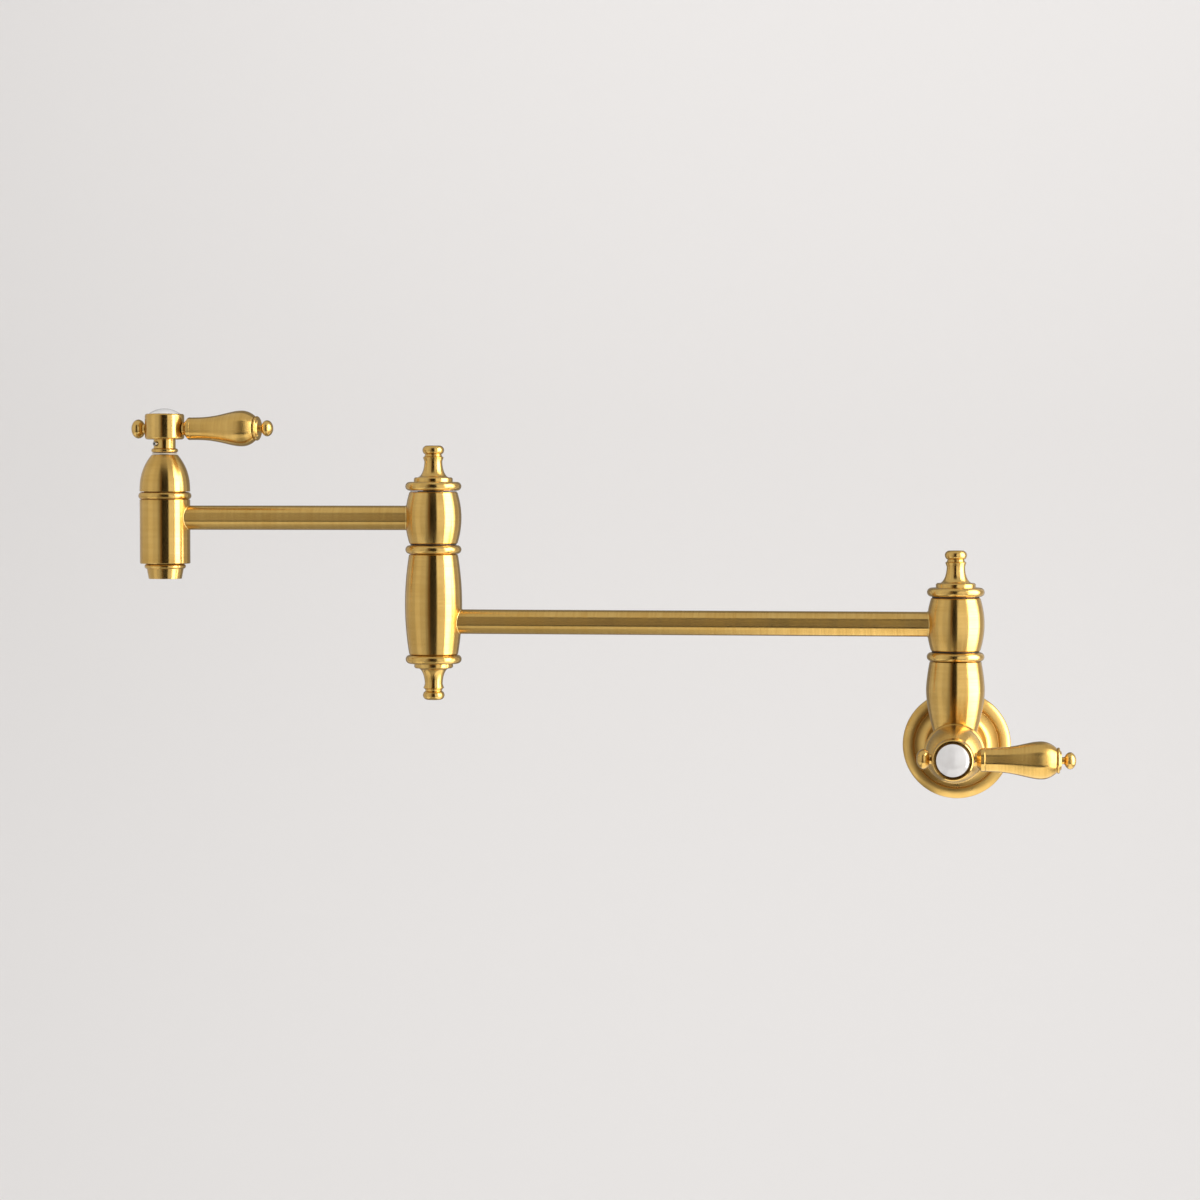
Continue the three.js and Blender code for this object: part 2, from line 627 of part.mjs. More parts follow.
function cartridgeBody() {
  const bore = holeRadius(DISC_DIAMETER / 2 + SEAT, SMALL);
  const neck = holeRadius(STEM_DIAMETER / 2 + SEAT, SMALL);
  const outline = [
    [CARTRIDGE_DIAMETER / 2, CARTRIDGE_BOTTOM],
    [CARTRIDGE_DIAMETER / 2, -CARTRIDGE_THREAD_LENGTH],
    [CARTRIDGE_THREAD_DIAMETER / 2, -CARTRIDGE_THREAD_LENGTH],
    [CARTRIDGE_THREAD_DIAMETER / 2, SEAT + HEX_LAP],
    [neck, SEAT + HEX_LAP],
    [neck, -CARTRIDGE_NECK_LENGTH],
    [bore, -CARTRIDGE_NECK_LENGTH],
    [bore, CARTRIDGE_BOTTOM],
  ];
  const hex = bar(HEX_ACROSS_FLATS / 2 / Math.cos(Math.PI / 6), SEAT, SEAT + HEX_HEIGHT, 6);
  const drilled = cut(hex, bar(neck, 0, SEAT + HEX_HEIGHT + OVERRUN, SMALL));
  const windowMiddle = MOVING_DISC_TOP + SEAT + STEM_FOOT_HEIGHT + WINDOW_HEIGHT / 2;
  const windows = [0, Math.PI / 2].map((turn) => {
    const box = new THREE.BoxGeometry(CHAMBER_DIAMETER, WINDOW_WIDTH, WINDOW_HEIGHT);
    return box.rotateZ(turn).translate(0, 0, windowMiddle);
  });
  return cut(join(turnedRing(outline, SMALL), drilled), ...windows);
}

/** A ceramic disc with two water holes on a line at the given angle. */
function ceramicDisc(top, turn) {
  const disc = bar(DISC_DIAMETER / 2, top - DISC_THICKNESS, top, SMALL);
  const holes = [-1, 1].map((side) => {
    const hole = bar(DISC_HOLE_DIAMETER / 2, top - DISC_THICKNESS - OVERRUN, top + OVERRUN, 6);
    return hole.translate(side * DISC_HOLE_OFFSET, 0, 0).rotateZ(turn);
  });
  return cut(disc, ...holes);
}

function seatSeal() {
  const bottom = SEAT - CHAMBER_DEPTH;
  return ring(SEAL_OUTER_DIAMETER / 2, SEAL_INNER_DIAMETER / 2, bottom, bottom + SEAL_THICKNESS, SMALL);
}

const CLIP_BOTTOM = HEX_HEIGHT + 2 * SEAT;

function stem() {
  const foot = MOVING_DISC_TOP + SEAT;
  const shaft = STEM_DIAMETER / 2;
  const clipMiddle = CLIP_BOTTOM + CLIP_THICKNESS / 2;
  const outline = [
    [0, foot],
    [STEM_FOOT_DIAMETER / 2, foot],
    [STEM_FOOT_DIAMETER / 2, foot + STEM_FOOT_HEIGHT],
    [shaft, foot + STEM_FOOT_HEIGHT],
    ...recess(shaft, CLIP_GROOVE_DIAMETER / 2, clipMiddle, CLIP_THICKNESS + 2 * SEAT),
    [shaft, STEM_TOP],
    [0, STEM_TOP],
  ];
  return turned(outline, SMALL);
}

function stemClip() {
  const inner = holeRadius(CLIP_GROOVE_DIAMETER / 2 + SEAT, SMALL);
  const whole = ring(CLIP_DIAMETER / 2, inner, CLIP_BOTTOM, CLIP_BOTTOM + CLIP_THICKNESS, SMALL);
  const opening = new THREE.BoxGeometry(CLIP_DIAMETER, CLIP_OPENING, 4 * CLIP_THICKNESS);
  return cut(whole, opening.translate(CLIP_DIAMETER / 2, 0, CLIP_BOTTOM));
}

function bonnet(diameter) {
  const base = diameter / 2;
  const small = BONNET_TOP_DIAMETER / 2;
  const crown = BONNET_HEIGHT - BONNET_CROWN;
  const hole = STEM_DIAMETER / 2 + 2 * SEAT;
  const radiusAt = (height) => base - (base - small) * (height / BONNET_HEIGHT) ** BONNET_CURVE;
  const outside = [];
  const inside = [];
  for (const share of [0, 0.28, 0.54, 0.75, 0.91, 1]) {
    const height = SEAT + (BONNET_HEIGHT - SEAT) * share;
    outside.push([radiusAt(height), height]);
  }
  for (const share of [1, 0.7, 0.35, 0]) {
    const height = SEAT + (crown - SEAT) * share;
    inside.push([radiusAt(height) - BONNET_WALL, height]);
  }
  return turnedRing([...outside, [hole, BONNET_HEIGHT], [hole, crown], ...inside], BODY);
}

function glideRing() {
  const bore = STEM_DIAMETER / 2 + 2 * SEAT;
  return ring(GLIDE_RING_DIAMETER / 2, bore, BONNET_HEIGHT + SEAT, HANDLE_FOOT - SEAT, BODY);
}

// ---- Handle ----

function handleHub(setScrewAngle) {
  const hub = HUB_DIAMETER / 2;
  const collar = COLLAR_DIAMETER / 2;
  const collarBottom = HANDLE_FOOT + FOOT_RING_HEIGHT;
  const seatRadius = hub - HUB_RIM_WALL;
  const stemHole = holeRadius(STEM_DIAMETER / 2 + SEAT, SMALL);
  const stemRoom = STEM_TOP + SEAT;
  const edge = HUB_EDGE;
  const outline = [
    [0, stemRoom],
    [stemHole, stemRoom],
    [stemHole, HANDLE_FOOT],
    ...bead(FOOT_RING_DIAMETER, HANDLE_FOOT, FOOT_RING_HEIGHT),
    [collar, collarBottom],
    [collar, HUB_BOTTOM],
    ...arc(hub - edge, HUB_BOTTOM + edge, edge, edge, -90, 0, 2),
    ...arc(hub - edge / 2, HUB_TOP - edge / 2, edge / 2, edge / 2, 0, 90, 2),
    [seatRadius, HUB_TOP],
    [seatRadius, BUTTON_FLOOR],
    [BUTTON_STALK_DIAMETER / 2 + SEAT, BUTTON_FLOOR],
    [BUTTON_STALK_DIAMETER / 2 + SEAT, BUTTON_FLOOR - BUTTON_STALK_LENGTH],
    [0, BUTTON_FLOOR - BUTTON_STALK_LENGTH],
  ];
  const studRadius = holeRadius(STUD_DIAMETER / 2 + SEAT, FEW);
  const studHole = bar(studRadius, -hub - OVERRUN, hub + OVERRUN, FEW);
  const screwHole = bar(holeRadius(SET_SCREW_DIAMETER / 2 + SEAT, FEW), 0, hub, FEW);
  const screwHeight = (collarBottom + HUB_BOTTOM) / 2;
  const turn = THREE.MathUtils.degToRad(setScrewAngle);
  return cut(
    turned(outline, BODY),
    alongX(studHole).translate(0, 0, HUB_BOTTOM + LEVER_HEIGHT),
    alongX(screwHole).rotateZ(turn).translate(0, 0, screwHeight),
  );
}

/** A grub screw along X with a hexagon socket in its outer end. */
function setScrew() {
  const start = STEM_DIAMETER / 2 + SEAT;
  const screw = bar(SET_SCREW_DIAMETER / 2, start, SET_SCREW_REACH, FEW);
  const floor = SET_SCREW_REACH - SET_SCREW_SOCKET_DEPTH;
  const socket = bar(SET_SCREW_SOCKET / 2, floor, SET_SCREW_REACH + OVERRUN, 6);
  return alongX(cut(screw, socket));
}

function porcelainButton() {
  const radius = BUTTON_DIAMETER / 2;
  const foot = BUTTON_FLOOR + SEAT;
  const stalk = BUTTON_STALK_DIAMETER / 2;
  const sphere = (radius ** 2 + BUTTON_DOME_HEIGHT ** 2) / (2 * BUTTON_DOME_HEIGHT);
  const centre = HUB_TOP + BUTTON_DOME_HEIGHT - sphere;
  const edge = THREE.MathUtils.radToDeg(Math.acos(radius / sphere));
  const outline = [
    [0, foot - BUTTON_STALK_LENGTH],
    [stalk, foot - BUTTON_STALK_LENGTH],
    [stalk, foot],
    [radius, foot],
    ...arc(0, centre, sphere, sphere, edge, 90, 4).slice(0, -1),
    [0, HUB_TOP + BUTTON_DOME_HEIGHT],
  ];
  return turned(outline, BODY);
}

/** The grip from its line to its fullest: it leaves the collar level and arrives level. */
function gripSwell(collar, full, steps) {
  const start = GRIP_LINE + GRIP_LINE_WIDTH / 2;
  const ease = 1 + GRIP_SWELL / 3;
  const points = [];
  for (let i = 0; i <= steps; i += 1) {
    const share = i / steps;
    const rise = share ** GRIP_SWELL * (ease - (ease - 1) * share ** 3);
    points.push([collar + (full - collar) * rise, start + (GRIP_FULL - start) * share]);
  }
  return points;
}

function leverGrip() {
  const boss = GRIP_BOSS_DIAMETER / 2;
  const collar = GRIP_COLLAR_DIAMETER / 2;
  const full = GRIP_FULL_DIAMETER / 2;
  const bore = holeRadius(STUD_DIAMETER / 2 + SEAT, SMALL);
  const radii = { bottom: full, top: GRIP_END_DIAMETER / 2, full };
  const end = swelling(GRIP_FULL, GRIP_END, GRIP_FULL, radii, GRIP_END_CURVE, 3).slice(1);
  const outline = [
    [boss, 0],
    [boss, GRIP_BOSS_LENGTH],
    [GRIP_START_DIAMETER / 2, GRIP_BOSS_LENGTH],
    [collar, GRIP_CHAMFER_END],
    [collar, GRIP_LINE - GRIP_LINE_WIDTH / 2],
    [collar - GRIP_LINE_DEPTH, GRIP_LINE],
    ...gripSwell(collar, full, 5),
    ...end,
    [bore, GRIP_END],
    [bore, 0],
  ];
  return alongX(turnedRing(outline, MEDIUM)).translate(GRIP_FOOT, 0, 0);
}

/** A squat ball's outline, from its foot to the axis at its top. */
function ballOutline(diameter, length, bottom) {
  const middle = bottom + length / 2;
  const side = arc(0, middle, diameter / 2, length / 2, BALL_FOOT, 90, 5).slice(0, -1);
  return [...side, [0, bottom + length]];
}

function leverTip() {
  const step = TIP_RING_HEIGHT + TIP_STEP_HEIGHT;
  const neckTop = step + TIP_NECK_LENGTH;
  const bore = holeRadius(STUD_DIAMETER / 2 + SEAT, SMALL);
  const neck = TIP_NECK_DIAMETER / 2;
  const outline = [
    [0, TIP_SOCKET],
    [bore, TIP_SOCKET],
    [bore, 0],
    ...bead(TIP_RING_DIAMETER, 0, TIP_RING_HEIGHT),
    [TIP_STEP_DIAMETER / 2, TIP_RING_HEIGHT],
    [TIP_STEP_DIAMETER / 2 - TIP_STEP_CHAMFER, step],
    [neck, step],
    [neck, neckTop],
    ...ballOutline(TIP_BALL_DIAMETER, TIP_BALL_LENGTH, neckTop),
  ];
  return alongX(turned(outline, SMALL)).translate(GRIP_FOOT + GRIP_END + SEAT, 0, 0);
}

function leverStud() {
  const end = GRIP_FOOT + GRIP_END + SEAT + TIP_SOCKET - SEAT;
  return alongX(bar(STUD_DIAMETER / 2, STUD_START, end, FEW));
}

/** The ball opposite the lever, with the stud that screws it into the hub. */
function counterBall() {
  const stud = STUD_DIAMETER / 2;
  const outline = [
    [0, -COUNTER_STUD_LENGTH],
    [stud, -COUNTER_STUD_LENGTH],
    [stud, 0],
    [COUNTER_NECK_DIAMETER / 2, 0],
    [COUNTER_NECK_DIAMETER / 2, COUNTER_NECK_LENGTH],
    ...ballOutline(COUNTER_BALL_DIAMETER, COUNTER_BALL_LENGTH, COUNTER_NECK_LENGTH),
  ];
  return alongX(turned(outline, SMALL)).translate(GRIP_FOOT, 0, 0).rotateZ(Math.PI);
}

// ---- Aerator: heights from the short tube's axis ----

function aeratorHousing() {
  const top = -SPOUT_BOTTOM - SEAT;
  const threadTop = top + AERATOR_THREAD_LENGTH;
  const bottom = -SPOUT_BOTTOM - AERATOR_HEIGHT;
  const rimBottom = top - AERATOR_RIM_HEIGHT;
  const bore = holeRadius(AERATOR_BORE / 2, BODY);
  const lip = AERATOR_BORE / 2 - AERATOR_LIP;
  const thread = AERATOR_SOCKET_DIAMETER / 2 - SEAT;
  const outline = [
    [AERATOR_BOTTOM_DIAMETER / 2, bottom],
    [AERATOR_TOP_DIAMETER / 2, rimBottom],
    ...bead(AERATOR_RIM_DIAMETER, rimBottom, AERATOR_RIM_HEIGHT),
    [thread, top],
    [thread, threadTop],
    [bore, threadTop],
    [bore, bottom + AERATOR_LIP_HEIGHT],
    [lip, bottom + AERATOR_LIP_HEIGHT],
    [lip, bottom],
  ];
  return turnedRing(outline, BODY);
}

const INSERT_BOTTOM = AERATOR_LIP_HEIGHT + SEAT - SPOUT_BOTTOM - AERATOR_HEIGHT;
const AERATOR_THREAD_TOP = AERATOR_THREAD_LENGTH - SEAT - SPOUT_BOTTOM;

function aeratorInsert() {
  const outer = AERATOR_BORE / 2 - SEAT;
  const inner = outer - INSERT_WALL;
  const plateTop = INSERT_BOTTOM + INSERT_PLATE;
  const outline = [
    [0, INSERT_BOTTOM],
    [outer, INSERT_BOTTOM],
    [outer, AERATOR_THREAD_TOP],
    [inner, AERATOR_THREAD_TOP],
    [inner, plateTop],
    [0, plateTop],
  ];
  const holes = [];
  for (let i = 0; i <= 6; i += 1) {
    const hole = bar(INSERT_HOLE_DIAMETER / 2, INSERT_BOTTOM - OVERRUN, plateTop + OVERRUN, 6);
    const offset = i === 6 ? 0 : INSERT_HOLE_PITCH;
    holes.push(hole.translate(offset, 0, 0).rotateZ((i * Math.PI) / 3));
  }
  return cut(turned(outline, BODY), ...holes);
}

function aeratorWasher() {
  const bottom = AERATOR_THREAD_TOP + SEAT;
  const outer = AERATOR_SOCKET_DIAMETER / 2 - 2 * SEAT;
  return ring(outer, AERATOR_WASHER_BORE / 2, bottom, bottom + AERATOR_WASHER_THICKNESS, SMALL);
}

// ---- The assembly ----

/** Adds a named mesh with a material of its own to a group. */
function add(parent, name, geometry, finish) {
  const mesh = new THREE.Mesh(geometry, new THREE.MeshStandardMaterial(FINISHES[finish]));
  mesh.name = name;
  parent.add(mesh);
  return mesh;
}

/** An empty group at a place in its parent. */
function groupAt(parent, x, y, z) {
  const group = new THREE.Group();
  group.position.set(x, y, z);
  parent.add(group);
  return group;
}

/** The washers, rings, spindle and finial of one swivel. */
function addSwivel(parent, names, z) {
  const swivel = groupAt(parent, 0, 0, z);
  add(swivel, `${names.prefix}_spindle`, spindle(), "brushedBrass");
  for (const [place, side] of [["lower", -1], ["upper", 1]]) {
    const ringMesh = add(swivel, `${names.prefix}_${place}_oring`, oring(), "rubber");
    ringMesh.position.z = BARREL_MIDDLE + side * ORING_SPREAD;
    const washer = add(swivel, `${names.prefix}_${place}_washer`, swivelWasher(), "nylon");
    washer.position.z = BARREL_MIDDLE + (side * (BARREL_HEIGHT + SWIVEL_GAP)) / 2;
  }
  const finial = add(swivel, names.finial, capFinial(), "polishedBrass");
  finial.position.z = FINIAL_BOTTOM;
}

/** One valve: cartridge, bonnet and glide ring. */
function addValve(parent, prefix, bonnetDiameter) {
  add(parent, `${prefix}_cartridge_body`, cartridgeBody(), "plainBrass");
  add(parent, `${prefix}_cartridge_fixed_disc`, ceramicDisc(FIXED_DISC_TOP, 0), "ceramic");
  add(parent, `${prefix}_cartridge_seal`, seatSeal(), "rubber");
  add(parent, `${prefix}_bonnet`, bonnet(bonnetDiameter), "brushedBrass");
  add(parent, `${prefix}_glide_ring`, glideRing(), "nylon");
}

/** The lever of one valve, with the stem and the disc that it turns. */
function addLever(parent, prefix, setScrewAngle) {
  add(parent, `${prefix}_cartridge_moving_disc`, ceramicDisc(MOVING_DISC_TOP, Math.PI / 2), "ceramic");
  add(parent, `${prefix}_cartridge_stem`, stem(), "plainBrass");
  add(parent, `${prefix}_stem_clip`, stemClip(), "steel");
  add(parent, `${prefix}_handle_hub`, handleHub(setScrewAngle), "polishedBrass");
  add(parent, `${prefix}_handle_button`, porcelainButton(), "porcelain");
  const screw = add(parent, `${prefix}_handle_set_screw`, setScrew(), "steel");
  screw.rotation.z = THREE.MathUtils.degToRad(setScrewAngle);
  screw.position.z = HUB_BOTTOM - COLLAR_HEIGHT / 2;
  const lever = groupAt(parent, 0, 0, HUB_BOTTOM + LEVER_HEIGHT);
  add(lever, `${prefix}_lever_stud`, leverStud(), "steel");
  add(lever, `${prefix}_lever_grip`, leverGrip(), "brushedBrass");
  add(lever, `${prefix}_lever_tip`, leverTip(), "polishedBrass");
  add(lever, `${prefix}_counter_ball`, counterBall(), "polishedBrass");
}

const potFiller = new THREE.Group();

add(potFiller, "wall_flange", wallFlange(), "brushedBrass");
add(potFiller, "flange_gasket", flangeGasket(), "rubber");
add(potFiller, "valve_body", valveBody(), "brushedBrass");

const wallValve = groupAt(potFiller, 0, -BODY_FRONT, 0);
wallValve.rotation.x = Math.PI / 2;
addValve(wallValve, "wall", WALL_BONNET_DIAMETER);
addLever(wallValve, "wall", WALL_SET_SCREW_ANGLE);

const wallAxis = groupAt(potFiller, 0, -AXIS_FROM_WALL, 0);
addSwivel(wallAxis, { prefix: "wall_swivel", finial: "wall_swivel_finial" }, POST_TOP + SEAT);

const longArm = groupAt(wallAxis, 0, 0, LONG_TUBE_Z);
add(longArm, "wall_swivel_barrel", swivelBarrel().rotateZ(Math.PI), "brushedBrass");
add(longArm, "long_tube", straightTube(TUBE_STOP - LONG_REACH, -TUBE_STOP), "brushedBrass");

const elbow = groupAt(longArm, -LONG_REACH, 0, 0);
add(elbow, "elbow_lower_barrel", lowerBarrel(), "brushedBrass");
const plug = add(elbow, "elbow_bottom_finial", plugFinial(), "polishedBrass");
plug.position.z = -LOWER_BARREL_DROP - SEAT;
addSwivel(elbow, { prefix: "elbow_swivel", finial: "elbow_top_finial" }, LOWER_BARREL_RISE + SEAT);

const shortArm = groupAt(elbow, 0, 0, SHORT_TUBE_Z - LONG_TUBE_Z);
add(shortArm, "elbow_upper_barrel", swivelBarrel().rotateZ(Math.PI), "brushedBrass");
add(shortArm, "short_tube", straightTube(TUBE_STOP - SHORT_REACH, -TUBE_STOP), "brushedBrass");

const spout = groupAt(shortArm, -SHORT_REACH, 0, 0);
add(spout, "spout_body", spoutBody(), "brushedBrass");
add(spout, "aerator_housing", aeratorHousing(), "polishedBrass");
add(spout, "aerator_insert", aeratorInsert(), "nylon");
add(spout, "aerator_washer", aeratorWasher(), "rubber");

const spoutValve = groupAt(spout, 0, 0, SPOUT_RIM_TOP);
addValve(spoutValve, "spout", SPOUT_BONNET_DIAMETER);
const spoutLever = groupAt(spoutValve, 0, 0, 0);
spoutLever.rotation.z = THREE.MathUtils.degToRad(SPOUT_LEVER_ANGLE);
addLever(spoutLever, "spout", SPOUT_SET_SCREW_ANGLE);

export default potFiller;
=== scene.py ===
# A wall mounted pot filler in satin brushed brass: two jointed arm tubes, an elbow, a wall valve and
# a spout valve with porcelain buttoned levers. Metres, in the CAD model's own frame: +Z up, +Y into
# the wall, both arms to -X at rest. Outlines are lists of (radius, height) round a turned piece's axis.
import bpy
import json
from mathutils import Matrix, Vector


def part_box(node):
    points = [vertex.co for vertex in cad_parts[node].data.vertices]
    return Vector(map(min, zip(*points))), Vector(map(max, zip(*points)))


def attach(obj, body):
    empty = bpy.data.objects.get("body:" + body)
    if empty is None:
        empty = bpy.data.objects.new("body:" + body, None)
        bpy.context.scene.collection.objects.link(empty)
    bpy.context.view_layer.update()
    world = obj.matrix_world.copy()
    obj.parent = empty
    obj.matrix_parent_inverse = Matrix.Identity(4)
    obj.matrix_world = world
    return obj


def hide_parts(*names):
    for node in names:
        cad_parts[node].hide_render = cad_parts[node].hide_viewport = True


bl_info = {
    "name": "Wall Mounted Pot Filler",
    "version": (1, 0, 0),
    "blender": (4, 5, 0),
    "location": "3D View > Sidebar > Pot Filler",
    "description": "Builds the finished pieces of a folding pot filler over its CAD model",
    "category": "Object",
}

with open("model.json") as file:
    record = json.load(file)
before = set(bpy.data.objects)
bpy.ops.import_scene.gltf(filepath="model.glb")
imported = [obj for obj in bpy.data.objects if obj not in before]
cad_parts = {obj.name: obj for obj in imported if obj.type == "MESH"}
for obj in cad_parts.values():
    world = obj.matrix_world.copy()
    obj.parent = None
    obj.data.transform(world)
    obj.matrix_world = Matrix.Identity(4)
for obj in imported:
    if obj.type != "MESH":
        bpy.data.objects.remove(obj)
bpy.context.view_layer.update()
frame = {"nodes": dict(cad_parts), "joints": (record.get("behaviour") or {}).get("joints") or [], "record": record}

import json
import math

import bpy
from bpy.props import FloatProperty, FloatVectorProperty, IntProperty, PointerProperty
from mathutils import Matrix, Vector

MM = 0.001
ON_AXIS = 1e-7
SHARP_EDGE = math.radians(38)

# Turns that lay an upright piece along +X, along -X and out of the wall, or stand it on its head
ALONG_X, BACK_ALONG_X = Matrix.Rotation(math.pi / 2, 4, "Y"), Matrix.Rotation(-math.pi / 2, 4, "Y")
OUT_OF_WALL, UPSIDE_DOWN = Matrix.Rotation(math.pi / 2, 4, "X"), Matrix.Rotation(math.pi, 4, "X")

# Rounded corners of outlines
CORNER_TURN = math.radians(24)  # outlines that turn more than this have a corner
CORNER_STEPS = 4
CORNER_REACH = 0.4  # share of the edges beside it that a corner may use
CORNER_HOLD = 1.2  # the point past a corner that keeps a flat flat, in lengths of the rounding
SOFT = 0.25 * MM
FLANGE_SOFT, HUB_SOFT, GRIP_SOFT, BUTTON_SOFT = 0.12 * MM, 0.2 * MM, 0.3 * MM, 0.7 * MM

# Facets round the turned pieces and steps along their curves
FLANGE_FACETS, RING_FACETS, SMALL_FACETS = 160, 96, 64
ROOM_FACETS, HOLE_FACETS, KEY_FACETS = 48, 32, 6
BEAD_STEPS, NECK_STEPS, ROUND_STEPS = 14, 14, 24
FLANGE_STEPS, FLANGE_BACK_STEPS = 18, 12
SIDE_STEPS, VASE_STEPS = 24, 40
BONNET_STEPS, BONNET_BACK_STEPS = 28, 10
GRIP_STEPS, TAIL_STEPS = 32, 16
HUB_FOOT_STEPS, HUB_TOP_STEPS = 10, 16
SEAM_STEPS, SEAM_SIDES = 96, 10

# Powers of the curves that swell
BARREL_POWER, VASE_POWER, TAIL_POWER = 2, 1.6, 2.2
BONNET_CROWDING = 1.4  # draws the bonnet's steps together near its small end
GROOVE_SLOPE = 0.35  # share of the flange's groove that each sloped side takes
TIP_GAP = 0.7  # share of the gap between grip and tip that the grip closes
KNOB_ARC, BALL_ARC = (-65, 78), (-60, 90)  # degrees on the sections of a knob and of a squat ball

# Grains of the finishes: lengths round a piece, along its outline and through it
HAIR_LINES = (30 * MM, 0.3 * MM, 1)
STREAKS = (90 * MM, 1.6 * MM, 1)
BUFFING_MARKS = (40 * MM, 0.5 * MM, 1)
SATIN_CLOUDS, BUFFED_CLOUDS, GLAZE_CLOUDS = 22 * MM, 9 * MM, 6 * MM
SATIN_RELIEF, BUFFED_RELIEF, GLAZE_RELIEF = 0.004 * MM, 0.002 * MM, 0.02 * MM
BUFFED_BRUSHING, SPUN_BRUSHING = 0.85, 0.4  # shares of the lathe's brushing that these two keep
ACROSS_BRUSHING = 0.25  # of a full turn: highlights lie across the hair lines

record = frame["record"]
JOINTS = {joint["name"]: joint for joint in frame["joints"]}
BODY_OF = {node: body for body, nodes in record["behaviour"]["bodies"].items() for node in nodes}
SLOT_OF = {part["node"]: part["material_slot"] for part in record["subparts"]}


# ---- Settings ----


def linear(code):
    """A colour's sRGB hex code as linear red, green, blue and alpha."""
    shares = [int(code[i : i + 2], 16) / 255 for i in (1, 3, 5)]
    return (*[c / 12.92 if c <= 0.04045 else ((c + 0.055) / 1.055) ** 2.4 for c in shares], 1.0)


def length(name, description, millimetres):
    return FloatProperty(
        name=name, description=description, default=millimetres * MM, min=0.0, precision=5, unit="LENGTH"
    )


def colour(name, description, code):
    return FloatVectorProperty(
        name=name, description=description, default=linear(code), size=4, min=0.0, max=1.0, subtype="COLOR"
    )


def share(name, description, value):
    return FloatProperty(
        name=name, description=description, default=value, min=0.0, max=1.0, subtype="FACTOR"
    )


def rotation(name, description, degrees):
    return FloatProperty(name=name, description=description, default=math.radians(degrees), subtype="ANGLE")


def number(name, description, value, low=0.0, unit="NONE"):
    return FloatProperty(name=name, description=description, default=value, min=low, unit=unit)


class PotFillerFinishes(bpy.types.PropertyGroup):
    """Colours and surface of the finishes."""

    brass: colour("Brass", "Lacquered satin brass", "#DDB76C")
    brass_deep: colour("Deep brass", "Where the satin brass is a shade deeper", "#D0A75A")
    porcelain: colour("Porcelain", "White glaze of the buttons", "#FBF9F8")
    satin: share("Satin roughness", "Roughness of the brushed brass", 0.23)
    polish: share("Polished roughness", "Roughness of the buffed beads, finials and balls", 0.22)
    spun: share("Spun roughness", "Roughness of the flange", 0.3)
    brushing: share("Brushing", "How far the lathe's brushing draws a highlight out", 0.93)


class PotFillerFlange(bpy.types.PropertyGroup):
    """Sizes of the round plate at the wall."""

    diameter: length("Diameter", "Across the rim", 84)
    depth: length("Depth", "Wall to the top of the crown", 12)
    wall: length("Wall", "Thickness of the spun plate", 1.6)
    rim_height: length("Rim height", "Straight edge at the wall", 2)
    band_width: length("Band width", "Outer convex band", 8)
    band_height: length("Band height", "Wall to the top of the band", 6.6)
    groove_width: length("Groove width", "Fine groove inside the band", 1.6)
    groove_depth: length("Groove depth", "Depth of that groove", 1.1)
    gasket: length("Gasket", "Width of the foam ring at the wall", 4.6)
    cove_height: length("Cove height", "Foot of the hollow curve", 6.8)
    crown_diameter: length("Crown diameter", "Top edge of the hollow curve", 47)


class PotFillerBody(bpy.types.PropertyGroup):
    """Sizes of the valve housing at the wall and of its post."""

    neck: length("Neck", "Diameter inside the flange", 34.6)
    front: length("Front", "Wall to the face of the front rim", 85)
    end: length("End diameter", "Where the barrel meets flange and rim", 38)
    full: length("Full diameter", "At the middle of the barrel", 43)
    rim: length("Rim diameter", "Across the front bead", 46)
    rim_height: length("Rim height", "Height of the front bead", 6.8)
    inlet_face: length("Inlet face", "Wall to the end of the inlet", 1)
    inlet: length("Inlet", "Diameter of the pipe thread", 21)
    inlet_depth: length("Inlet depth", "Depth of the pipe thread", 14)
    inlet_pitch: length("Inlet pitch", "Pitch of the pipe thread, 14 to the inch", 1.81)
    throat: length("Throat", "Water way through the valve seat", 12)
    post_top: length("Post top", "Height of the post above the inlet's axis", 68.3)
    post_top_diameter: length("Post top diameter", "Under the swivel's bead", 39.2)
    post_full: length("Post full diameter", "Where the vase is fullest", 44.5)
    post_full_height: length("Post full height", "Height of the fullest place", 46.3)
    post_foot: length("Post foot", "Diameter at the inlet's axis", 24)


class PotFillerSwivels(bpy.types.PropertyGroup):
    """Sizes of both swivels, their barrels and their pins."""

    bead: length("Bead", "Diameter of the half-round beads", 43.6)
    bead_height: length("Bead height", "Height of the beads", 6.8)
    gap: length("Gap", "Dark gap above and below a turning barrel", 1)
    pin: length("Pin", "Diameter of the pin", 24)
    pin_bore: length("Pin bore", "Water way in the pin", 12)
    pin_thread: length("Pin thread", "Depth of the pin's thread", 14)
    cap: length("Cap thread", "Thread that carries the finial", 16)
    cap_length: length("Cap thread length", "Length of that thread", 8)
    barrel_height: length("Barrel height", "Height of a turning barrel", 40.4)
    barrel_full: length("Barrel diameter", "At its middle", 43.7)
    barrel_end: length("Barrel end", "At its ends", 37.6)
    lower_rise: length("Elbow rise", "Elbow's lower barrel above the long tube", 52.3)
    lower_drop: length("Elbow drop", "Elbow's lower barrel below the long tube", 25.7)
    lower_full: length("Elbow diameter", "Elbow's lower barrel at its middle", 44.5)
    lower_end: length("Elbow end", "Elbow's lower barrel at its ends", 38.2)
    edge: length("Edge", "Chamfer of the barrels", 0.6)
    washer: length("Washer", "Diameter of the sliding washers", 36)
    clearance: length("Clearance", "Between pieces that rest on each other", 0.3)


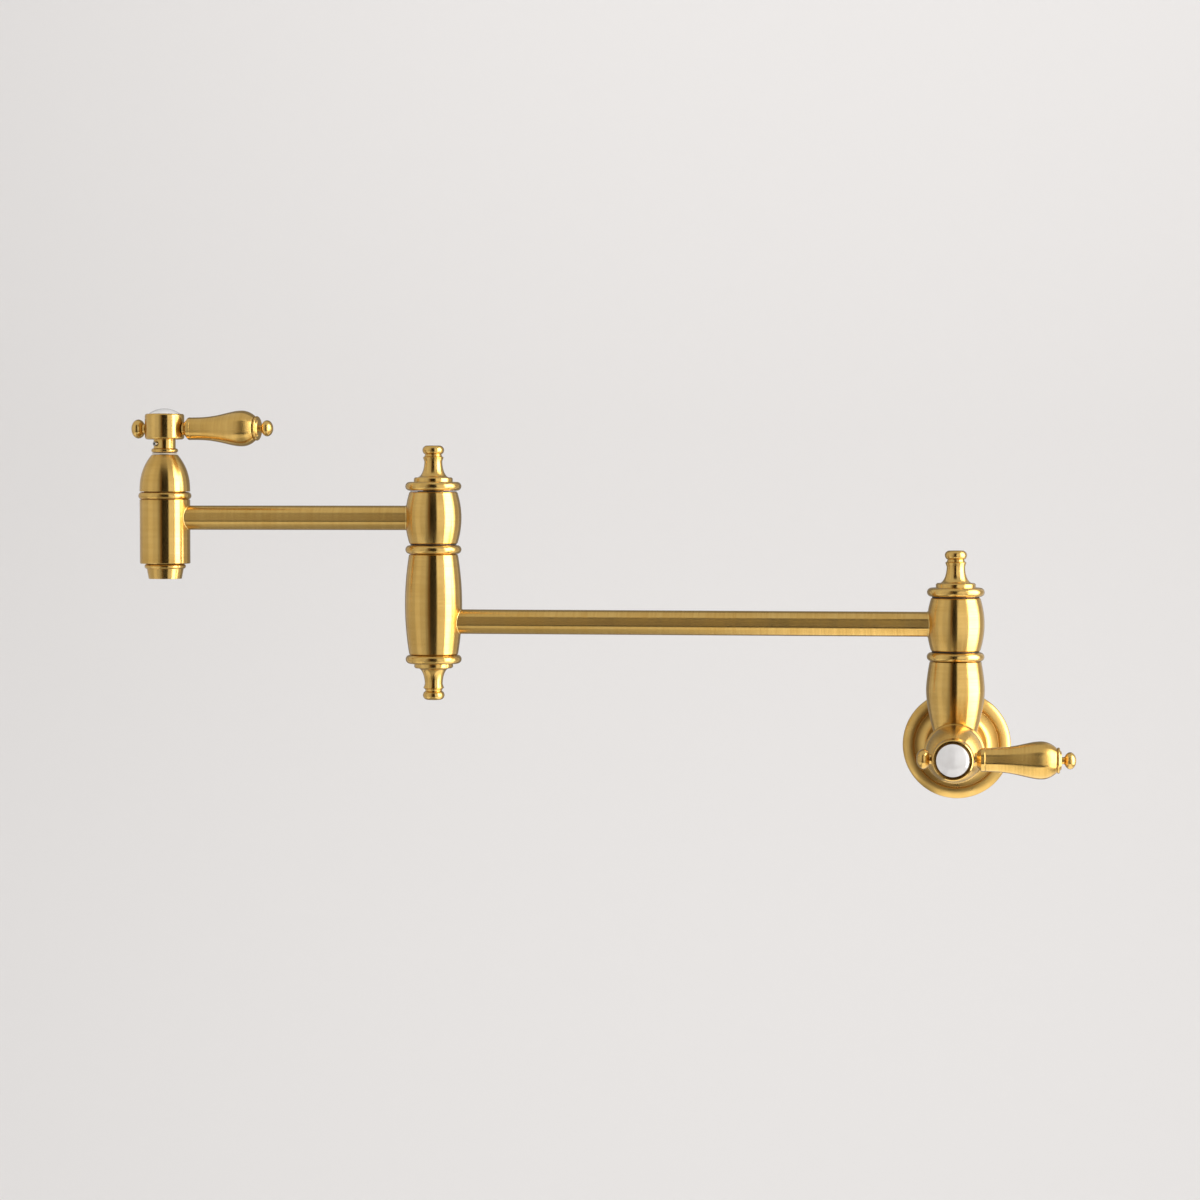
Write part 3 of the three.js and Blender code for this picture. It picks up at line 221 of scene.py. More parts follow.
class PotFillerFinial(bpy.types.PropertyGroup):
    """Sizes of the three finials, above their bead."""

    disc: length("Disc", "Diameter of the step on the bead", 30.2)
    disc_height: length("Disc height", "Height of that step", 3.5)
    flare: length("Flare", "Foot of the neck's curve", 25.4)
    neck: length("Neck", "Thinnest diameter", 13.9)
    neck_height: length("Neck height", "Height of the thinnest place", 16)
    lip: length("Lip", "Diameter of the lip under the knob", 16)
    lip_height: length("Lip height", "Height of that lip", 19)
    groove: length("Groove", "Diameter of the groove under the knob", 13.8)
    knob: length("Knob", "Diameter of the knob", 16.8)
    knob_height: length("Knob height", "Height of the knob", 7.3)
    height: length("Height", "Bead to the top of the knob", 28.3)
    edge: length("Edge", "Chamfer of the disc and lip", 0.9)


class PotFillerArms(bpy.types.PropertyGroup):
    """Sizes of the arm tubes."""

    tube: length("Tube", "Outer diameter of both arms", 19.05)
    wall: length("Wall", "Thickness of the tube", 1.5)
    seam: length("Seam", "Radius of the brazing seam round a tube's end", 0.45)
    fit: length("Fit", "Clearance round a tube in its socket", 0.15)
    port: length("Port", "Water way from a tube into its barrel", 14)
    stop: length("Stop", "Tube's end from the axis of the piece it enters", 14)


class PotFillerValves(bpy.types.PropertyGroup):
    """Sizes of both bonnets and of the rooms under them."""

    chamber: length("Chamber", "Diameter of the cartridge's room", 24.1)
    chamber_depth: length("Chamber depth", "Depth of the cartridge's room", 33.3)
    spigot: length("Spigot", "Thread that carries the bonnet", 32.4)
    spigot_height: length("Spigot height", "Height of that thread", 5)
    spigot_wall: length("Spigot wall", "Thickness of the spigot", 2)
    wall_bonnet: length("Wall bonnet", "Diameter of the wall valve's bonnet", 43.6)
    spout_bonnet: length("Spout bonnet", "Diameter of the spout valve's bonnet", 39.5)
    top: length("Bonnet top", "Diameter at the small end", 20.5)
    height: length("Bonnet height", "Rim to the small end", 29.2)
    shell: length("Bonnet shell", "Thickness of the bonnet", 2.8)
    crown: length("Bonnet crown", "Thickness at the small end", 4.2)
    glide: length("Glide ring", "Diameter of the pale ring", 19.5)
    glide_space: length("Glide space", "Between bonnet and handle", 1.6)
    stem: length("Stem", "Diameter of the cartridge's stem", 8)
    curve: number("Bonnet curve", "Power of the bullet curve", 2.5, 1)


class PotFillerHandle(bpy.types.PropertyGroup):
    """Sizes of the handle hubs, their buttons and grub screws."""

    foot_ring: length("Foot ring", "Diameter of the ring at the foot", 20.8)
    foot_height: length("Foot height", "Height of that ring", 3.5)
    collar: length("Collar", "Diameter of the collar", 17.2)
    collar_height: length("Collar height", "Height of the collar", 7)
    hub: length("Hub", "Diameter of the hub", 30.8)
    hub_height: length("Hub height", "Height of the hub", 20.3)
    edge: length("Edge", "Rounding of the hub's edges", 2.1)
    lip: length("Lip", "Thin lip round the button", 1.1)
    seat_depth: length("Seat depth", "Depth of the button's seat", 4.3)
    stem_top: length("Stem top", "Rim to the top of the stem", 46)
    button: length("Button", "Diameter of the porcelain button", 24.3)
    dome: length("Dome", "Height of the button's dome", 4)
    stalk: length("Stalk", "Diameter of the button's stalk", 10)
    stalk_length: length("Stalk length", "Length of the stalk", 2.7)
    screw: length("Grub screw", "Diameter of the grub screw", 3.6)
    screw_reach: length("Screw reach", "Its outer end from the handle's axis", 10.8)
    screw_socket: length("Screw socket", "Hexagon socket across corners", 1.8)
    key_depth: length("Socket depth", "Depth of that socket", 2)
    lever_height: length("Lever height", "Lever's axis above the hub's foot", 8.3)
    wall_screw: rotation("Wall screw angle", "Turn of the wall handle's grub screw", 90)
    spout_screw: rotation("Spout screw angle", "Turn of the spout handle's grub screw", 243)
    spout_turn: rotation("Spout lever angle", "Turn of the spout's lever", -6)


class PotFillerLever(bpy.types.PropertyGroup):
    """Sizes of the lever's grip, tip and balls, from the hub's side outwards."""

    boss: length("Boss", "Diameter of the ring at the hub", 10)
    boss_length: length("Boss length", "Length of that ring", 1.9)
    start: length("Start", "Diameter where the grip begins", 11.4)
    chamfer: length("Chamfer end", "End of the grip's chamfer", 4.9)
    collar: length("Collar", "Diameter of the grip's collar", 17.7)
    line: length("Line", "Place of the fine turned line", 8)
    line_width: length("Line width", "Width of that line", 1)
    line_depth: length("Line depth", "Depth of that line", 0.4)
    full_at: length("Full at", "Where the grip is thickest", 48.4)
    full: length("Full diameter", "Diameter there", 28)
    end_at: length("End at", "End of the grip", 59.7)
    end: length("End diameter", "Diameter there", 18.8)
    ring: length("Tip ring", "Diameter of the tip's ring", 19.2)
    ring_height: length("Tip ring height", "Height of that ring", 2.4)
    step: length("Tip step", "Diameter of the step", 15)
    step_height: length("Tip step height", "Height of the step", 1.1)
    step_slope: length("Tip step slope", "How far the step draws in", 1)
    neck: length("Tip neck", "Diameter of the neck", 5.2)
    neck_length: length("Tip neck length", "Length of the neck", 1.8)
    ball: length("Tip ball", "Diameter of the squat ball", 12.6)
    ball_length: length("Tip ball length", "Length of the ball", 8.9)
    counter_ball: length("Counter ball", "Diameter of the ball opposite", 15)
    counter_length: length("Counter length", "Length of that ball", 10.4)
    counter_neck: length("Counter neck", "Diameter of its neck", 7.4)
    counter_neck_length: length("Counter neck length", "Length of its neck", 1)
    counter_stud: length("Counter stud", "Length of its stud in the hub", 7)
    stud: length("Stud", "Diameter of the lever's stud", 5.4)
    socket: length("Tip socket", "Depth of the stud's thread in the tip", 3.2)
    swell: number("Swell", "Power of the slow swelling", 2.5, 1)


class PotFillerSpout(bpy.types.PropertyGroup):
    """Sizes of the spout and its aerator."""

    diameter: length("Diameter", "Straight part of the spout", 39.4)
    bottom: length("Bottom", "Below the short tube's axis", 36.2)
    rim_top: length("Rim top", "Above the short tube's axis", 20.2)
    bead: length("Bead", "Diameter of the spout's bead", 41.4)
    bead_height: length("Bead height", "Height of that bead", 6)
    socket: length("Socket", "Aerator's thread", 27.4)
    socket_depth: length("Socket depth", "Depth of that thread", 9.5)
    thread: length("Thread length", "Aerator's thread", 7)
    ring: length("Aerator ring", "Diameter of the aerator's bead", 32.3)
    ring_height: length("Aerator ring height", "Height of that bead", 3.7)
    taper_top: length("Taper top", "Diameter under the bead", 28.8)
    taper_bottom: length("Taper bottom", "Diameter at the mouth", 25.8)
    height: length("Aerator height", "Below the spout", 11.9)
    bore: length("Aerator bore", "Inside diameter", 22.4)
    lip: length("Aerator lip", "Inward lip that holds the screen", 1)
    lip_height: length("Lip height", "Height of that lip", 0.6)
    cup_wall: length("Cup wall", "Thickness of the screen's cup", 1.5)
    screen: length("Screen", "Thickness of the screen", 2)
    rows: IntProperty(name="Rows", description="Rows of cells across the screen", default=11, min=3)
    cell: length("Cell", "Distance between the screen's cells", 2.3)
    cell_wall: length("Cell wall", "Thickness of the screen's webs", 0.45)


class PotFillerStage(bpy.types.PropertyGroup):
    """Camera, floor and light."""

    lens: number("Lens", "Focal length on a 36 mm frame", 91.15, unit="CAMERA")
    camera: FloatVectorProperty(
        name="Camera", description="Camera's place", default=(0.0462, -2.3873, 0.1967), subtype="TRANSLATION"
    )
    yaw: rotation("Yaw", "Camera's turn to the left", 7.82)
    pitch: rotation("Pitch", "Camera's tilt down", 2.02)
    floor: length("Floor depth", "Floor below the inlet", 1250)
    sweep: colour("Sweep", "Pale studio floor and sweep", "#E6E4E3")
    sky: number("Sky", "Strength of the even light all round", 0.68)
    window: number("Window", "Power of the window at the right", 24, unit="POWER")
    wash: number("Wash", "Power of the light on the sweep", 70, unit="POWER")
    around: IntProperty(name="Facets", description="Facets round the large turned pieces", default=96, min=12)


SETTINGS = {
    "finishes": PotFillerFinishes,
    "flange": PotFillerFlange,
    "body": PotFillerBody,
    "swivels": PotFillerSwivels,
    "finial": PotFillerFinial,
    "arms": PotFillerArms,
    "valves": PotFillerValves,
    "handle": PotFillerHandle,
    "lever": PotFillerLever,
    "spout": PotFillerSpout,
    "stage": PotFillerStage,
}


def settings(name):
    return getattr(bpy.context.scene, "pot_filler_" + name)


# ---- Outlines ----


def arc(radius, height, across, up, start, end, steps):
    """Points on an ellipse round a centre, between two angles in degrees."""
    angles = [math.radians(start + (end - start) * i / steps) for i in range(steps + 1)]
    return [(radius + across * math.cos(a), height + up * math.sin(a)) for a in angles]


def bead(diameter, bottom, height):
    """A half-round bead."""
    half = height / 2
    return arc(diameter / 2 - half, bottom + half, half, half, -90, 90, BEAD_STEPS)


def swelling(bottom, top, fullest, radii, power, steps=SIDE_STEPS):
    """Fullest at one height, drawn in towards both ends. radii are (bottom, full, top)."""
    points = []
    for i in range(steps + 1):
        height = bottom + (top - bottom) * i / steps
        below = height < fullest
        end, side = (radii[0], fullest - bottom) if below else (radii[2], max(top - fullest, MM))
        away = abs(height - fullest) / side
        points.append((radii[1] - (radii[1] - end) * away**power, height))
    return points


def barrel_side(bottom, top, end, full, edge):
    """A barrel's outside, with a small chamfer at each end."""
    radii = (end / 2, full / 2, end / 2)
    side = swelling(bottom + edge, top - edge, (bottom + top) / 2, radii, BARREL_POWER)
    return [(end / 2 - edge, bottom), *side, (end / 2 - edge, top)]


def rectangle(outer, inner, bottom, top):
    """The section of a plain ring."""
    return [(outer, bottom), (outer, top), (inner, top), (inner, bottom)]


def bar(radius, bottom, top):
    return [(0, bottom), (radius, bottom), (radius, top), (0, top)]


def softened(outline, radius):
    """Rounds an outline's corners, with a point past each that keeps flats flat when shaded smooth."""
    closed = outline[0][0] > ON_AXIS
    points = [Vector(p) for p in outline]
    made = []
    for i, here in enumerate(points):
        if not closed and i in (0, len(points) - 1):
            made.append(here)
            continue
        back, on = points[i - 1] - here, points[(i + 1) % len(points)] - here
        turn = math.pi - back.angle(on)
        if turn < CORNER_TURN:
            made.append(here)
            continue
        reach = min(radius * math.tan(turn / 2), CORNER_REACH * back.length, CORNER_REACH * on.length)
        start, end = here + back.normalized() * reach, here + on.normalized() * reach
        made.append(here + back.normalized() * reach * CORNER_HOLD)
        for k in range(CORNER_STEPS + 1):
            t = k / CORNER_STEPS
            made.append(start * (1 - t) ** 2 + here * (2 * t * (1 - t)) + end * t * t)
        made.append(here + on.normalized() * reach * CORNER_HOLD)
    return [tuple(p) for p in made]


# ---- Meshes ----


def turned(name, outline, place=Matrix(), around=None, soft=SOFT):
    """A piece turned round its own Z and put in its place. Its UV map runs round and along it."""
    around = around or settings("stage").around
    points = softened(outline, soft) if soft else list(outline)
    area = sum(a[0] * b[1] - b[0] * a[1] for a, b in zip(points, points[1:] + points[:1]))
    if area < 0:
        points.reverse()
    closed = points[0][0] > ON_AXIS
    verts, rings = [], []
    for radius, height in points:
        count = around if radius > ON_AXIS else 1
        rings.append((len(verts), count))
        for j in range(count):
            angle = math.pi / 2 + 2 * math.pi * j / around
            verts.append((radius * math.cos(angle), radius * math.sin(angle), height))
    girth = 2 * math.pi * max(p[0] for p in points)
    faces, places, run = [], [], 0.0
    last = len(points) - 1
    pairs = [(k, k + 1) for k in range(last)] + ([(last, 0)] if closed else [])
    for low, high in pairs:
        step = (Vector(points[high]) - Vector(points[low])).length
        for j in range(around):
            corners = [(low, j, 0), (low, j + 1, 0), (high, j + 1, step), (high, j, step)]
            if rings[low][1] == 1:
                corners.pop(1)
            if rings[high][1] == 1:
                corners.pop(-2)
            faces.append([rings[k][0] + (m % around if rings[k][1] > 1 else 0) for k, m, _ in corners])
            places.extend((girth * m / around, run + s) for _, m, s in corners)
        run += step
    mesh = bpy.data.meshes.new(name)
    mesh.from_pydata(verts, [], faces)
    uv = mesh.uv_layers.new(name="UVMap")
    uv.data.foreach_set("uv", [c for p in places for c in p])
    mesh.transform(place)
    return shown(name, mesh)


def shown(name, mesh):
    """A new object in the scene, shaded smooth up to its sharp edges."""
    mesh.shade_smooth()
    mesh.set_sharp_from_angle(angle=SHARP_EDGE)
    made = bpy.data.objects.new(name, mesh)
    bpy.context.scene.collection.objects.link(made)
    return made


def drill(name, radius, bottom, top, place, around=HOLE_FACETS):
    """A plain cylinder that cuts a bore."""
    return turned(name, bar(radius, bottom, top), place, around, 0)


def carved(base, joined=(), cut=()):
    """The base with other pieces joined on and then cut away, all of which it uses up."""
    tools = [(tool, "UNION") for tool in joined] + [(tool, "DIFFERENCE") for tool in cut]
    for tool, operation in tools:
        change = base.modifiers.new(tool.name, "BOOLEAN")
        change.object, change.operation, change.solver = tool, operation, "EXACT"
    finished = base.evaluated_get(bpy.context.evaluated_depsgraph_get())
    mesh = bpy.data.meshes.new_from_object(finished)
    base.modifiers.clear()
    base.data = mesh
    mesh.shade_smooth()
    mesh.set_sharp_from_angle(angle=SHARP_EDGE)
    for tool, _ in tools:
        bpy.data.objects.remove(tool)
    return base


def dress(piece, node, finish_name):
    """Gives a piece its finish and lets it stand for a CAD node: the node is hidden, and the piece rides on the
    node's body.
    """
    piece.data.materials.clear()
    piece.data.materials.append(finish(finish_name))
    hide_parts(node)
    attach(piece, BODY_OF[node])
    return piece


def along_x(x, y, z):
    """The place of a piece whose axis lies along +X."""
    return Matrix.Translation((x, y, z)) @ ALONG_X


def upright(node, height=0.0):
    """The place of an upright piece on its joint's axis, its height 0 at the CAD node's foot."""
    low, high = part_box(node)
    return Matrix.Translation(((low.x + high.x) / 2, (low.y + high.y) / 2, low.z + height))


def axis_of(joint):
    return Vector(JOINTS[joint]["pos_m"])


# ---- Node trees ----


def add_node(tree, kind, inputs=None, **attributes):
    """Adds a node, with its attributes, and with its sockets filled by values or linked to other sockets."""
    made = tree.nodes.new(kind)
    for name, value in attributes.items():
        setattr(made, name, value)
    for name, value in (inputs or {}).items():
        if isinstance(value, bpy.types.NodeSocket):
            tree.links.new(value, made.inputs[name])
        else:
            made.inputs[name].default_value = value
    return made


def maths(tree, operation, *values):
    """The result of a math node."""
    return add_node(tree, "ShaderNodeMath", dict(enumerate(values)), operation=operation).outputs[0]


def new_material(name):
    """An empty material and its node tree."""
    material = bpy.data.materials.new(name)
    material.use_nodes = True
    material.node_tree.nodes.clear()
    return material, material.node_tree


def finish_material(tree, constants, links):
    """The surface shader: constants stand on its own sockets, and links give what varies."""
    shader = add_node(tree, "ShaderNodeBsdfPrincipled", {**constants, **links})
    add_node(tree, "ShaderNodeOutputMaterial", {"Surface": shader.outputs["BSDF"]})


def pattern(tree, vector, lengths):
    """Noise whose grains have the given lengths in metres along the vector's axes."""
    scale = [1 / size for size in lengths]
    stretched = add_node(tree, "ShaderNodeMapping", {"Vector": vector, "Scale": scale}).outputs[0]
    inputs = {"Vector": stretched, "Scale": 1.0, "Detail": 2.0}
    return add_node(tree, "ShaderNodeTexNoise", inputs).outputs["Fac"]


def spread(tree, value, low, high, start=0.3, end=0.7):
    """A noise value spread between two numbers."""
    inputs = {"Value": value, "From Min": start, "From Max": end, "To Min": low, "To Max": high}
    return add_node(tree, "ShaderNodeMapRange", inputs).outputs["Result"]


def blend_colours(tree, factor, first, second):
    made = add_node(tree, "ShaderNodeMix", data_type="RGBA")
    made.inputs[6].default_value, made.inputs[7].default_value = first, second
    tree.links.new(factor, made.inputs[0])
    return made.outputs[2]


def relief(tree, height, depth):
    inputs = {"Height": height, "Distance": depth, "Strength": 1.0}
    return add_node(tree, "ShaderNodeBump", inputs).outputs["Normal"]


def round_and_along(tree):
    return add_node(tree, "ShaderNodeUVMap", uv_map="UVMap").outputs["UV"]


def in_space(tree):
    return add_node(tree, "ShaderNodeTexCoord").outputs["Object"]


def brushed_way(tree):
    """The tangent along which the brushing runs."""
    return add_node(tree, "ShaderNodeTangent", direction_type="UV_MAP", uv_map="UVMap").outputs[0]


def finish_brass(tree, brushing, links):
    """Metal whose brushing runs round the piece."""
    constants = {"Metallic": 1.0, "Anisotropic": brushing, "Anisotropic Rotation": ACROSS_BRUSHING}
    finish_material(tree, constants, {**links, "Tangent": brushed_way(tree)})


def lathe_brushed_brass():
    # Brass brushed in the lathe and lacquered: hair lines round the piece draw each light out into a
    # stripe along it. The real lines are finer than 0.1 mm, so they are drawn coarser to show.
    finishes = settings("finishes")
    material, tree = new_material("satin_brass_lathe_brushed")
    hairs = pattern(tree, round_and_along(tree), HAIR_LINES)
    streaks = pattern(tree, round_and_along(tree), STREAKS)
    cloud = pattern(tree, in_space(tree), [SATIN_CLOUDS] * 3)
    uneven = maths(tree, "ADD", streaks, cloud)
    shade = spread(tree, uneven, 0, 1, 0.75, 1.3)
    links = {
        "Base Color": blend_colours(tree, shade, finishes.brass, finishes.brass_deep),
        "Roughness": spread(tree, uneven, finishes.satin - 0.02, finishes.satin + 0.03, 0.7, 1.3),
        "Normal": relief(tree, maths(tree, "ADD", hairs, streaks), SATIN_RELIEF),
    }
    finish_brass(tree, finishes.brushing, links)
    return material


def smooth_brass(name, roughness, brushing):
    """Lacquered brass with only faint turning marks, of the roughness and brushing given."""
    finishes = settings("finishes")
    material, tree = new_material(name)
    marks = pattern(tree, round_and_along(tree), BUFFING_MARKS)
    cloud = pattern(tree, in_space(tree), [BUFFED_CLOUDS] * 3)
    links = {
        "Base Color": blend_colours(tree, spread(tree, cloud, 0, 0.6), finishes.brass, finishes.brass_deep),
        "Roughness": spread(tree, cloud, roughness - 0.03, roughness + 0.04),
        "Normal": relief(tree, marks, BUFFED_RELIEF),
    }
    finish_brass(tree, brushing, links)
    return material


def buffed_brass():
    # Brass buffed on a wheel and lacquered: beads, finials, hubs and balls show clear reflections.
    finishes = settings("finishes")
    return smooth_brass("buffed_brass", finishes.polish, finishes.brushing * BUFFED_BRUSHING)


def spun_brass():
    # Brass sheet spun over a form and lacquered: an even gold sheen with faint rings round it.
    finishes = settings("finishes")
    return smooth_brass("spun_brass", finishes.spun, finishes.brushing * SPUN_BRUSHING)


def glazed_porcelain():
    # Fired white porcelain with a clear glaze: a soft milky white under a hard, wet shine.
    material, tree = new_material("glazed_white_porcelain")
    glaze = settings("finishes").porcelain
    cloud = pattern(tree, in_space(tree), [GLAZE_CLOUDS] * 3)
    constants = {"IOR": 1.5, "Coat Weight": 1.0, "Coat Roughness": 0.03, "Coat IOR": 1.5}
    links = {
        "Base Color": blend_colours(tree, spread(tree, cloud, 0, 0.5), glaze, linear("#F3F0EE")),
        "Roughness": spread(tree, cloud, 0.1, 0.16),
        "Normal": relief(tree, cloud, GLAZE_RELIEF),
    }
    finish_material(tree, constants, links)
    return material


def plain_material(name, codes, grain, roughness, depth, constants):
    """A finish of two shades, with a grain and a relief in millimetres and a roughness range."""
    material, tree = new_material(name)
    grains = pattern(tree, in_space(tree), [grain * MM] * 3)
    links = {
        "Base Color": blend_colours(tree, spread(tree, grains, 0, 1), linear(codes[0]), linear(codes[1])),
        "Roughness": spread(tree, grains, *roughness),
        "Normal": relief(tree, grains, depth * MM),
    }
    finish_material(tree, constants, links)
    return material


PLAIN_FINISHES = {
    # Free-cutting brass as it leaves the lathe: yellow, with small bright and dull patches.
    "machined_brass": (("#C9A95F", "#B48F46"), 0.8, (0.28, 0.42), 0.01, {"Metallic": 1.0}),
    # Brazing metal as it set and was then bright dipped: pale yellow, smooth and rippled.
    "bright_brazing_metal": (("#F0D898", "#E2C274"), 1.2, (0.16, 0.26), 0.02, {"Metallic": 1.0}),
    # Turned stainless steel: cool grey and bright.
    "turned_stainless_steel": (("#B9B9B6", "#8E8E8C"), 0.6, (0.2, 0.32), 0.01, {"Metallic": 1.0}),
    # Ground alumina discs: an even, slightly warm white with a dull gloss.
    "ground_alumina": (("#ECE8DE", "#DCD7CA"), 0.5, (0.25, 0.4), 0.005, {"IOR": 1.77}),
    # Moulded nylon: a waxy, slightly yellowed white.
    "moulded_nylon": (("#E0D8C6", "#CEC6B2"), 0.7, (0.38, 0.5), 0.02, {"IOR": 1.53}),
    # Black acetal sliding washers: near-black with an oily half gloss.
    "black_acetal": (("#1B1917", "#2A2724"), 0.6, (0.35, 0.5), 0.01, {"IOR": 1.48}),
    # Closed cell foam rubber, die cut: soft dark grey with small pores.
    "closed_cell_foam": (("#2B2B2C", "#1A1A1B"), 0.9, (0.75, 0.95), 0.12, {"IOR": 1.5}),
    # Moulded nitrile rubber: matt black with a dusty bloom.
    "nitrile_rubber": (("#161616", "#262524"), 0.5, (0.6, 0.8), 0.03, {"IOR": 1.52}),
}


def finish(name):
    """The named finish, made once."""
    found = bpy.data.materials.get(name)
    if found:
        return found
    if name in PLAIN_FINISHES:
        return plain_material(name, *PLAIN_FINISHES[name])
    makers = {
        "satin_brass_lathe_brushed": lathe_brushed_brass,
        "buffed_brass": buffed_brass,
        "spun_brass": spun_brass,
        "glazed_white_porcelain": glazed_porcelain,
    }
    return makers[name]()


# ---- Geometry trees ----


def geometry_tree(name, sockets):
    """A new geometry tree with named inputs. sockets are (name, socket type, default)."""
    tree = bpy.data.node_groups.new(name, "GeometryNodeTree")
    tree.interface.new_socket("Geometry", in_out="INPUT", socket_type="NodeSocketGeometry")
    tree.interface.new_socket("Geometry", in_out="OUTPUT", socket_type="NodeSocketGeometry")
    for label, kind, default in sockets:
        made = tree.interface.new_socket(label, in_out="INPUT", socket_type=kind)
        if default is not None:
            made.default_value = default
    return tree, add_node(tree, "NodeGroupInput").outputs


def end_tree(tree, geometry, material):
    real = add_node(tree, "GeometryNodeRealizeInstances", {"Geometry": geometry}).outputs[0]
    painted = add_node(tree, "GeometryNodeSetMaterial", {"Geometry": real, "Material": material}).outputs[0]
    add_node(tree, "NodeGroupOutput", {"Geometry": painted})


def sweep(tree, path, section, capped=False):
    inputs = {"Curve": path, "Profile Curve": section, "Fill Caps": capped}
    return add_node(tree, "GeometryNodeCurveToMesh", inputs).outputs[0]


def circle(tree, resolution, radius):
    inputs = {"Resolution": resolution, "Radius": radius}
    return add_node(tree, "GeometryNodeCurvePrimitiveCircle", inputs).outputs["Curve"]


def oblong(tree, width, height):
    inputs = {"Width": width, "Height": height}
    return add_node(tree, "GeometryNodeCurvePrimitiveQuadrilateral", inputs).outputs["Curve"]


def grown(name, tree, values, seed_mesh=None, place=Matrix()):
    """The plain mesh that a geometry tree makes, in a new object. values go to the inputs by name."""
    seed = bpy.data.objects.new(name + "_seed", seed_mesh or bpy.data.meshes.new(name + "_seed"))
    bpy.context.scene.collection.objects.link(seed)
    growth = seed.modifiers.new("Growth", "NODES")
    growth.node_group = tree
    for item in tree.interface.items_tree:
        if item.item_type == "SOCKET" and item.in_out == "INPUT" and item.name in values:
            growth[item.identifier] = values[item.name]
    seed.update_tag()
    grown_seed = seed.evaluated_get(bpy.context.evaluated_depsgraph_get())
    mesh = bpy.data.meshes.new_from_object(grown_seed)
    bpy.data.objects.remove(seed)
    mesh.name = name
    mesh.transform(place)
    return shown(name, mesh)


def run_kept(tree, curve, way):
    """Keeps how far along a curve each of its points lies, for the UV map."""
    kept = add_node(tree, "GeometryNodeCaptureAttribute")
    kept.capture_items.new("FLOAT", "Run")
    tree.links.new(curve, kept.inputs[0])
    tree.links.new(way, kept.inputs["Run"])
    return kept


def ring_tree():
    """A plain ring or tube round Z, its foot at height 0."""
    found = bpy.data.node_groups.get("plain_ring")
    if found:
        return found
    sockets = [
        ("Outer Diameter", "NodeSocketFloat", 0.02),
        ("Inner Diameter", "NodeSocketFloat", 0.01),
        ("Height", "NodeSocketFloat", 0.01),
        ("Facets", "NodeSocketInt", 64),
        ("Finish", "NodeSocketMaterial", None),
    ]
    tree, given = geometry_tree("plain_ring", sockets)
    outer, inner, height = given["Outer Diameter"], given["Inner Diameter"], given["Height"]
    middle = maths(tree, "MULTIPLY", maths(tree, "ADD", outer, inner), 0.25)
    wall = maths(tree, "MULTIPLY", maths(tree, "SUBTRACT", outer, inner), 0.5)
    way = add_node(tree, "GeometryNodeSplineParameter").outputs["Length"]
    curves = circle(tree, given["Facets"], middle), oblong(tree, wall, height)
    path, section = (run_kept(tree, curve, way) for curve in curves)
    run = {"X": path.outputs["Run"], "Y": section.outputs["Run"]}
    inputs = {
        "Geometry": sweep(tree, path.outputs[0], section.outputs[0]),
        "Name": "UVMap",
        "Value": add_node(tree, "ShaderNodeCombineXYZ", run).outputs[0],
    }
    storing = {"data_type": "FLOAT2", "domain": "CORNER"}
    mapped = add_node(tree, "GeometryNodeStoreNamedAttribute", inputs, **storing).outputs[0]
    lift = add_node(tree, "ShaderNodeCombineXYZ", {"Z": maths(tree, "MULTIPLY", height, 0.5)}).outputs[0]
    raised = add_node(tree, "GeometryNodeTransform", {"Geometry": mapped, "Translation": lift})
    end_tree(tree, raised.outputs[0], given["Finish"])
    return tree


def plain_ring(name, node, sizes, place, finish_name, facets=SMALL_FACETS):
    """A ring or tube that stands for a CAD node. sizes are its outer and inner diameter and its height."""
    outer, inner, height = sizes
    values = {
        "Outer Diameter": outer,
        "Inner Diameter": inner,
        "Height": height,
        "Facets": facets,
        "Finish": finish(finish_name),
    }
    return dress(grown(name, ring_tree(), values, place=place), node, finish_name)


def thread_tree():
    """An inside thread: a ridge that winds along Z on the wall of its hole."""
    sockets = [
        ("Hole Diameter", "NodeSocketFloat", 0.021),
        ("Pitch", "NodeSocketFloat", 0.0018),
        ("Depth", "NodeSocketFloat", 0.014),
        ("Finish", "NodeSocketMaterial", None),
    ]
    tree, given = geometry_tree("pipe_thread", sockets)
    pitch, depth = given["Pitch"], given["Depth"]
    radius = maths(tree, "MULTIPLY", given["Hole Diameter"], 0.5)
    inputs = {
        "Resolution": ROOM_FACETS,
        "Rotations": maths(tree, "DIVIDE", depth, pitch),
        "Start Radius": radius,
        "End Radius": radius,
        "Height": depth,
    }
    winding = add_node(tree, "GeometryNodeCurveSpiral", inputs).outputs["Curve"]
    ridge = circle(tree, 4, maths(tree, "MULTIPLY", pitch, 0.5))
    end_tree(tree, sweep(tree, winding, ridge, True), given["Finish"])
    return tree


def seam_tree():
    """A thin bead of braze that follows the edge that it is given."""
    found = bpy.data.node_groups.get("brazing_seam")
    if found:
        return found
    sockets = [("Thickness", "NodeSocketFloat", 0.0005), ("Finish", "NodeSocketMaterial", None)]
    tree, given = geometry_tree("brazing_seam", sockets)
    path = add_node(tree, "GeometryNodeMeshToCurve", {"Mesh": given["Geometry"]}).outputs["Curve"]
    section = circle(tree, SEAM_SIDES, given["Thickness"])
    end_tree(tree, sweep(tree, path, section), given["Finish"])
    return tree


